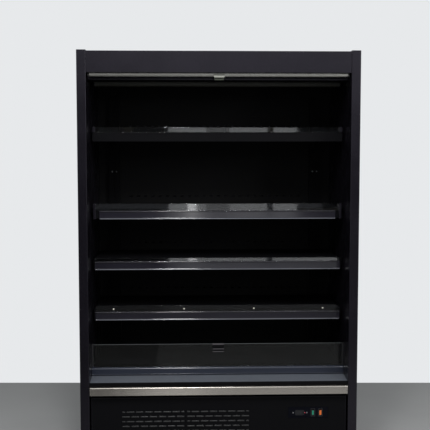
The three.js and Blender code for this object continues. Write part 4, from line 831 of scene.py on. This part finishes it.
low, high = box_mm("blind_grip")
GRIP_HALF, GRIP_THICK = 23.5, 3.4
plate = slab("blind_grip_formed", (-GRIP_HALF, low.y, low.z + 11.6),
             (GRIP_HALF, low.y + GRIP_THICK, high.z))
bevel_edges(plate, lambda p: (
    abs(p.x) > GRIP_HALF - 0.5 and abs(p.y - low.y - GRIP_THICK / 2) < 0.5), 3, 5)
pick(plate, lambda middle, normal: normal.y < -0.9)
bpy.ops.mesh.inset(thickness=3 * MM)
bpy.ops.mesh.extrude_region_move(TRANSFORM_OT_translate={"value": (0, 1.4 * MM, 0)})
close()
rounded(plate, 0.5)
neck = slab("grip_neck", (-21, low.y + 2.4, low.z + 10.3), (21, high.y, low.z + 13.7), 0.6)
tongue = slab("grip_tongue", (-21.5, high.y - 7.4, low.z), (21.5, high.y - 3.4, low.z + 12.7))
bevel_edges(tongue, lambda p: abs(p.x) > 21 and p.z < low.z + 0.1, 5, 6)
rounded(tongue, 0.6)
grip = fit(joined("blind_grip_formed", plate, neck, tongue), grey_abs, "blind")
# The tongue's faces take the darker olive tone, a painted shade.
part_finish(grip, tongue_painted_shade, lambda middle, normal: middle.y > (low.y + 5) * MM)
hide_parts("blind_grip")


# Shelves: four folded coated trays, each on two hooked brackets. A clear acrylic riser stands
# along the front, and the lower three have a glossy ticket strip clipped over the front wall.
# Cast acrylic: clear with a grey edge, and fine wiping marks in its polish.
acrylic = grained("clear_cast_acrylic", ("d9dcde", "e9ebec"), 20, 0.0, (0.02, 0.05),
                  Transmission_Weight=1.0, IOR=1.49, Coat_Weight=0.8, Coat_Roughness=0.02)
# Extruded gloss PVC: nearly black with a cool tint, and drawn slightly wavy along its length.
gloss_pvc = grained("extruded_gloss_pvc", ("16151b", "1e1d25"), 30, 0.08, (0.07, 0.13),
                    stretch=(0.15, 1, 1), Specular_IOR_Level=0.85)
# Flap bead: the strip's rolled lower edge. Its pale tone is a painted highlight, which draws a
# bright line together with its gloss.
bead_painted_highlight = grained("flap_bead_painted_highlight", ("52545c", "5c5e66"), 2.0, 0.0, (0.12, 0.2),
                   Specular_IOR_Level=1.0)
for shelf in range(1, 5):
    body = f"shelf_{shelf}"
    fit(softened(body + "_tray", 0.6), inner_coat, body)
    for side in ("left", "right"):
        fit(softened(f"{body}_bracket_{side}", 0.4), inner_coat, body)
    fit(softened(body + "_riser", 0.4), acrylic, body)
    if body + "_ticket_strip" in nodes:
        fit(softened(body + "_ticket_strip", 2.2, 6), gloss_pvc, body)
        low, high = box_mm(body + "_ticket_strip")
        bead = turned(body + "_strip_bead", both_ends([(1.4, high.x - 2), (2.1, high.x - 3)]),
                      (0, low.y + 1.5, low.z + 2.2), (0, 90, 0), sides=20)
        fit(bead, bead_painted_highlight, body)

# Clips at both ends of the two upper shelves: moulded plastic that holds the riser's ends. The
# second shelf's reach down over its ticket strip.
for shelf, below in ((1, 0), (2, 39)):
    body = f"shelf_{shelf}"
    riser_low, riser_high = box_mm(body + "_riser")
    for side, end in ((-1, "left"), (1, "right")):
        edge = side * box_mm(body + "_tray")[1].x
        x0, x1 = sorted((edge - side * 0.5, edge - side * 12))
        clip = slab(f"{body}_clip_{end}", (x0, riser_low.y - 4.2, riser_low.z - below),
                    (x1, riser_low.y - 0.4, riser_high.z + 1.5), 1.5, 4)
        fit(clip, outer_coat, body)
# Push rivets in the lowest riser: their pale, milky tone is a painted highlight that makes the
# heads show as bright dots.
pale_nylon_painted_highlight = grained("pale_nylon_painted_highlight", ("c4c2b8", "d6d4ca"), 1.0, 0.02, (0.3, 0.4))
low, high = box_mm("shelf_4_riser")
RIVETS_X, RIVETS_UP = (-485, -158, 168, 491), 13.4
rivets = [turned("rivet", [(3.9, 0), (3.9, 0.7), (3.1, 1.5), (1.4, 1.9)],
                 (x, low.y, low.z + RIVETS_UP), (90, 0, 0), sides=16) for x in RIVETS_X]
fit(joined("shelf_4_rivets", *rivets), pale_nylon_painted_highlight, "shelf_4")


# Return grille and deck: a folded grille whose bars let the air curtain back into the well,
# and a loose deck tray that lies on its ledge and on the duct panel's foot.
fit(softened("deck_tray", 0.6), inner_coat, "deck")
dress(inner_coat, "return_grille")
low, high = box_mm("return_grille")
BARS, BAR_PITCH, BAR_HALF, LEDGE = 146, 8, 18, 20.3
slot_middle = (low.y + high.y - LEDGE) / 2
bar = slab("return_grille_bars", (low.x + 6, slot_middle - BAR_HALF, high.z - 6),
           (low.x + 8.4, slot_middle + BAR_HALF, high.z - 0.6))
fit(row_of(bar, BARS, (BAR_PITCH, 0, 0)), inner_coat)


# Front riser: float glass in a bull-nosed gloss channel with end posts. The blind's catch
# hangs over its middle, and two ribs cross the catch's face above and below its window.
# Float glass: clear with a green-grey edge.
float_glass = grained("float_glass", ("c9cfcc", "d8dcd9"), 40, 0.0, (0.01, 0.03),
                      Transmission_Weight=1.0, IOR=1.52)
fit(softened("front_glass", 0.4), float_glass)
# Extruded gloss PVC, navy: the channel picks up more blue than the ticket strips.
navy_pvc = grained("extruded_navy_pvc", ("1d212b", "272b37"), 30, 0.08, (0.13, 0.2),
                   stretch=(0.15, 1, 1), Specular_IOR_Level=0.6)
channel = fit(softened("glass_channel", 0.8), navy_pvc)
low, high = box_mm("glass_channel")
POSTS_UP = 38
part_finish(channel, nylon, lambda middle, normal: middle.z > (low.z + POSTS_UP) * MM)
bead = turned("glass_channel_bead", both_ends([(1.2, high.x), (1.9, high.x - 1)]),
              (0, low.y - 0.6, low.z + 6.2), (0, 90, 0), sides=16)
fit(bead, navy_pvc)
low, high = box_mm("front_glass")
# Ground edge: the glass's top edge is ground matt, and it shows as a pale line.
ground_edge = grained("ground_glass_edge", ("3f4344", "505455"), 1.0, 0.05, (0.6, 0.8))
edge = slab("front_glass_edge", (low.x + 0.5, low.y - 0.05, high.z - 1.2),
            (high.x - 0.5, high.y + 0.05, high.z + 0.1), 0.3)
fit(edge, ground_edge)
catch = fit(softened("blind_catch", 0.8), matt_nylon)
# Grey nylon for the hook's face and the ribs: its pale grey is a painted highlight that draws
# bright lines across the black catch.
rib_painted_highlight = grained("grey_nylon_painted_highlight", ("474548", "525053"), 0.8, 0.04, (0.4, 0.5),
                   Specular_IOR_Level=0.2)
low, high = box_mm("blind_catch")
# Only the rear hook's front face, behind the pocket, takes the painted highlight.
part_finish(catch, rib_painted_highlight, lambda middle, normal: (
    normal.y < -0.5 and middle.z > (high.z - 7) * MM and middle.y > (low.y + 4) * MM))
RIB_HALF = 1.6
for z, place in ((569, "upper"), (557, "lower")):
    rib = slab("blind_catch_rib_" + place, (low.x + 0.5, low.y - 1.4, z - RIB_HALF),
               (high.x - 0.5, low.y + 1, z + RIB_HALF), 0.9)
    fit(rib, rib_painted_highlight)


# Sill and bumper: the sill is one folded sheet, coated grey. The bumper is brushed stainless
# sheet, rounded along its top and round its ends, on clips in front of the sill's flange.
# Powder coat, blue-grey satin.
sill_coat = grained("grey_powder_coat", ("4a4e55", "53575e"), 1.5, 0.05, (0.35, 0.45))
fit(softened("front_sill", 0.7), sill_coat)
# Brushed stainless: lines along its length. Real ones are 0.1 mm apart, drawn at 1 mm to show.
stainless = grained("brushed_stainless_steel", ("aca69e", "b9b4ad"), 1.0, 0.002, (0.23, 0.3),
                    stretch=(0.004, 1, 1), Metallic=1.0)
low, high = box_mm("bumper")
sill_low, sill_high = box_mm("front_sill")
# A matt black strip over the sill's flange, between sill and bumper: painted shade, a dark thing
# put where that gap lies in shadow.
painted_shade_strip = slab("sill_flange_painted_shade", (sill_low.x, high.y, low.z - 4),
            (sill_high.x, high.y + 0.28, sill_high.z - 1.4), 0.1, 2)
fit(painted_shade_strip, inner_coat)
bumper = slab("bumper_formed", low, high)
bevel_edges(bumper, lambda p: p.y < low.y + 0.1 and p.z > low.z + 0.1, 6.5, 10)
rounded(bumper, 0.8)
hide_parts("bumper")
fit(bumper, stainless)


# Controls: a gloss plate on a box, hung from the right end panel. It holds the temperature
# controller with a smoked window and two buttons, and two lit rocker switches in frames.
# Moulded gloss black ABS with a cool tint, as the light picks it up.
gloss_abs = grained("moulded_gloss_abs", ("08080d", "0d0e14"), 1.5, 0.01, (0.2, 0.3),
                    Specular_IOR_Level=0.03)
fit(softened("control_panel", 0.6), gloss_abs)
fit(softened("temperature_controller", 0.7), gloss_abs)
# Moulded button ABS: mid grey, with a soft sheen.
button_abs = grained("moulded_button_abs", ("505052", "5c5c5e"), 0.8, 0.02, (0.3, 0.4))
for side in ("left", "right"):
    button = "controller_button_" + side
    fit(softened(button, 0.8), button_abs, button)
low, high = box_mm("temperature_controller")
# Smoked acrylic window: nearly black, polished.
smoked = grained("smoked_acrylic_window", ("050507", "09090c"), 20, 0.0, (0.04, 0.08),
                 Specular_IOR_Level=0.3)
# Bezel paint: dark grey, a shade above the plate.
bezel_grey = grained("dark_grey_bezel", ("232326", "2b2b2e"), 1.0, 0.01, (0.4, 0.5),
                     Specular_IOR_Level=0.2)
CONTROLS_Z, WINDOW_HALF = 298, 11
for name, grow, proud, finish in (("controller_bezel", 0.9, 0.35, bezel_grey),
                                  ("controller_window", 0, 0.6, smoked)):
    reach = WINDOW_HALF + grow
    made = slab(name, (low.x + 18 - grow, low.y - proud, CONTROLS_Z - reach),
                (high.x - 22 + grow, low.y + 0.3, CONTROLS_Z + reach))
    bevel_edges(made, lambda p: abs(p.y - low.y + proud / 2 - 0.15) < 0.1, 7, 8)
    fit(rounded(made, 0.15, 2), finish)
# Unlit seven-segment digits behind the window: dim grey bars.
segment_grey = grained("unlit_segments", ("1c1d21", "24252a"), 2.0, 0.0, (0.3, 0.4))
digit_x, width, half, bar = low.x + 22, 6.5, 6, 1.1
bars = [((0, v - bar / 2), (width, v + bar / 2)) for v in (-half, 0, half)]
bars += [((u - bar / 2, v), (u + bar / 2, v + half)) for u in (0, width) for v in (-half, 0)]
digit = joined("controller_digits", *[
    slab("segment", (digit_x + a[0], low.y - 0.7, CONTROLS_Z + a[1]),
         (digit_x + b[0], low.y - 0.45, CONTROLS_Z + b[1])) for a, b in bars])
fit(row_of(digit, 3, (10, 0, 0)), segment_grey)
# Red indicator lens, lit from behind.
red_lens = grained("red_indicator_lens", ("640c1c", "741222"), 2.0, 0.0, (0.2, 0.3),
                   Emission_Color=linear("c01038"), Emission_Strength=0.3)
led = turned("controller_indicator", [(2.6, 0), (2.6, 0.5), (1.8, 1.2), (0.8, 1.4)],
             (high.x - 18, low.y - 0.4, CONTROLS_Z), (90, 0, 0), sides=16)
fit(led, red_lens)
# Translucent rocker lenses over a small lamp: saturated, glossy, and brighter than their light.
green_lens = grained("green_rocker_lens", ("0f6a53", "138065"), 3.0, 0.01, (0.2, 0.3),
                     Emission_Color=linear("1f9c7c"), Emission_Strength=0.12)
amber_lens = grained("amber_rocker_lens", ("b04f18", "c45e22"), 3.0, 0.01, (0.2, 0.3),
                     Emission_Color=linear("e07a35"), Emission_Strength=0.2)
FRAME_HALF, FRAME_WIDTH = 18, 2.4
for name, lens, margin in (("switch_green", green_lens, 2.8), ("switch_amber", amber_lens, 1.8)):
    rocker = fit(softened(name, 0.7), nylon, name)
    low, high = box_mm(name)
    part_finish(rocker, lens, lambda middle, normal: (
        normal.y < -0.9 and abs(middle.x / MM - (low.x + high.x) / 2) < 2
        and low.z + 2 < middle.z / MM < high.z - 2), margin)
    face = box_mm("control_panel")[0].y
    rim = slab(name + "_frame", (low.x - 3, face - 1.4, CONTROLS_Z - FRAME_HALF),
               (high.x + 3, face, CONTROLS_Z + FRAME_HALF))
    pick(rim, lambda middle, normal: abs(normal.y) > 0.9)
    bpy.ops.mesh.inset(thickness=FRAME_WIDTH * MM)
    bpy.ops.mesh.bridge_edge_loops()
    close()
    fit(rounded(rim, 0.5), nylon)


# Lower front panel: a shallow folded pan with rows of pressed louvres. Each louvre is an
# eyelid with its open side down, whose lip catches the light.
dress(inner_coat, "lower_front_panel")
low, high = box_mm("lower_front_panel")
FIRST_LOUVRE, LOUVRE_PITCH, GROUP_STEP = -439, 41, 293
TOP_ROW, ROW_PITCH = 308, 22
LONG_LOUVRE, SHORT_LOUVRE = 36, 15.5


def hoods(name, start, width, count, step, row):
    """One row of louvre hoods in both groups, repeated on every second row down the panel."""
    z = TOP_ROW - row * ROW_PITCH
    made = slab(name, (start + 1, low.y - 3, z - 3), (start + width - 1, low.y + 0.4, z + 3.2))
    bevel_edges(made, lambda p: p.y < low.y - 2.9 and p.z > z - 2.9, 2.9, 6)
    rounded(made, 0.4)
    made = row_of(made, count, (step, 0, 0))
    made = row_of(made, 2, (GROUP_STEP, 0, 0))
    made = row_of(made, 4, (0, 0, -2 * ROW_PITCH))
    fit(made, enamel, "lower_panel")


hoods("louvre_hoods_straight", FIRST_LOUVRE, LONG_LOUVRE, 7, LOUVRE_PITCH, 1)
hoods("louvre_hoods_staggered", FIRST_LOUVRE + LOUVRE_PITCH / 2, LONG_LOUVRE, 6, LOUVRE_PITCH, 0)
hoods("louvre_hoods_short", FIRST_LOUVRE, SHORT_LOUVRE, 2, 6.5 * LOUVRE_PITCH, 0)
for name, a, b in (("top", (low.x, low.y - 0.4, high.z - 2), (high.x, low.y + 1.6, high.z)),
                   ("left", (low.x, low.y - 0.4, low.z), (low.x + 2, low.y + 1.6, high.z - 2)),
                   ("right", (high.x - 2, low.y - 0.4, low.z), (high.x, low.y + 1.6, high.z - 2))):
    fit(slab("lower_panel_hem_" + name, a, b, 0.9, 4), outer_coat, "lower_panel")


# Power inlet: a moulded black appliance inlet with three plated brass pins. Its flange covers
# the edge of its cut-out in the rear wall.
fit(softened("power_inlet", 0.8), nylon)
low, high = box_mm("power_inlet")
inlet_x, inlet_z = (low.x + high.x) / 2, (low.z + high.z) / 2
# Nickel-plated brass: warm, bright and smooth.
nickel = grained("nickel_plated_brass", ("a8a296", "bdb7aa"), 1.0, 0.01, (0.18, 0.3), Metallic=1.0)
for x, z, pin in ((-7, -2, "a"), (7, -2, "b"), (0, 4, "c")):
    blade = slab("power_inlet_pin_" + pin, (inlet_x + x - 1, high.y - 18.5, inlet_z + z - 2.2),
                 (inlet_x + x + 1, high.y - 3, inlet_z + z + 2.2), 0.6)
    fit(blade, nickel)

bpy.data.objects.remove(screw)
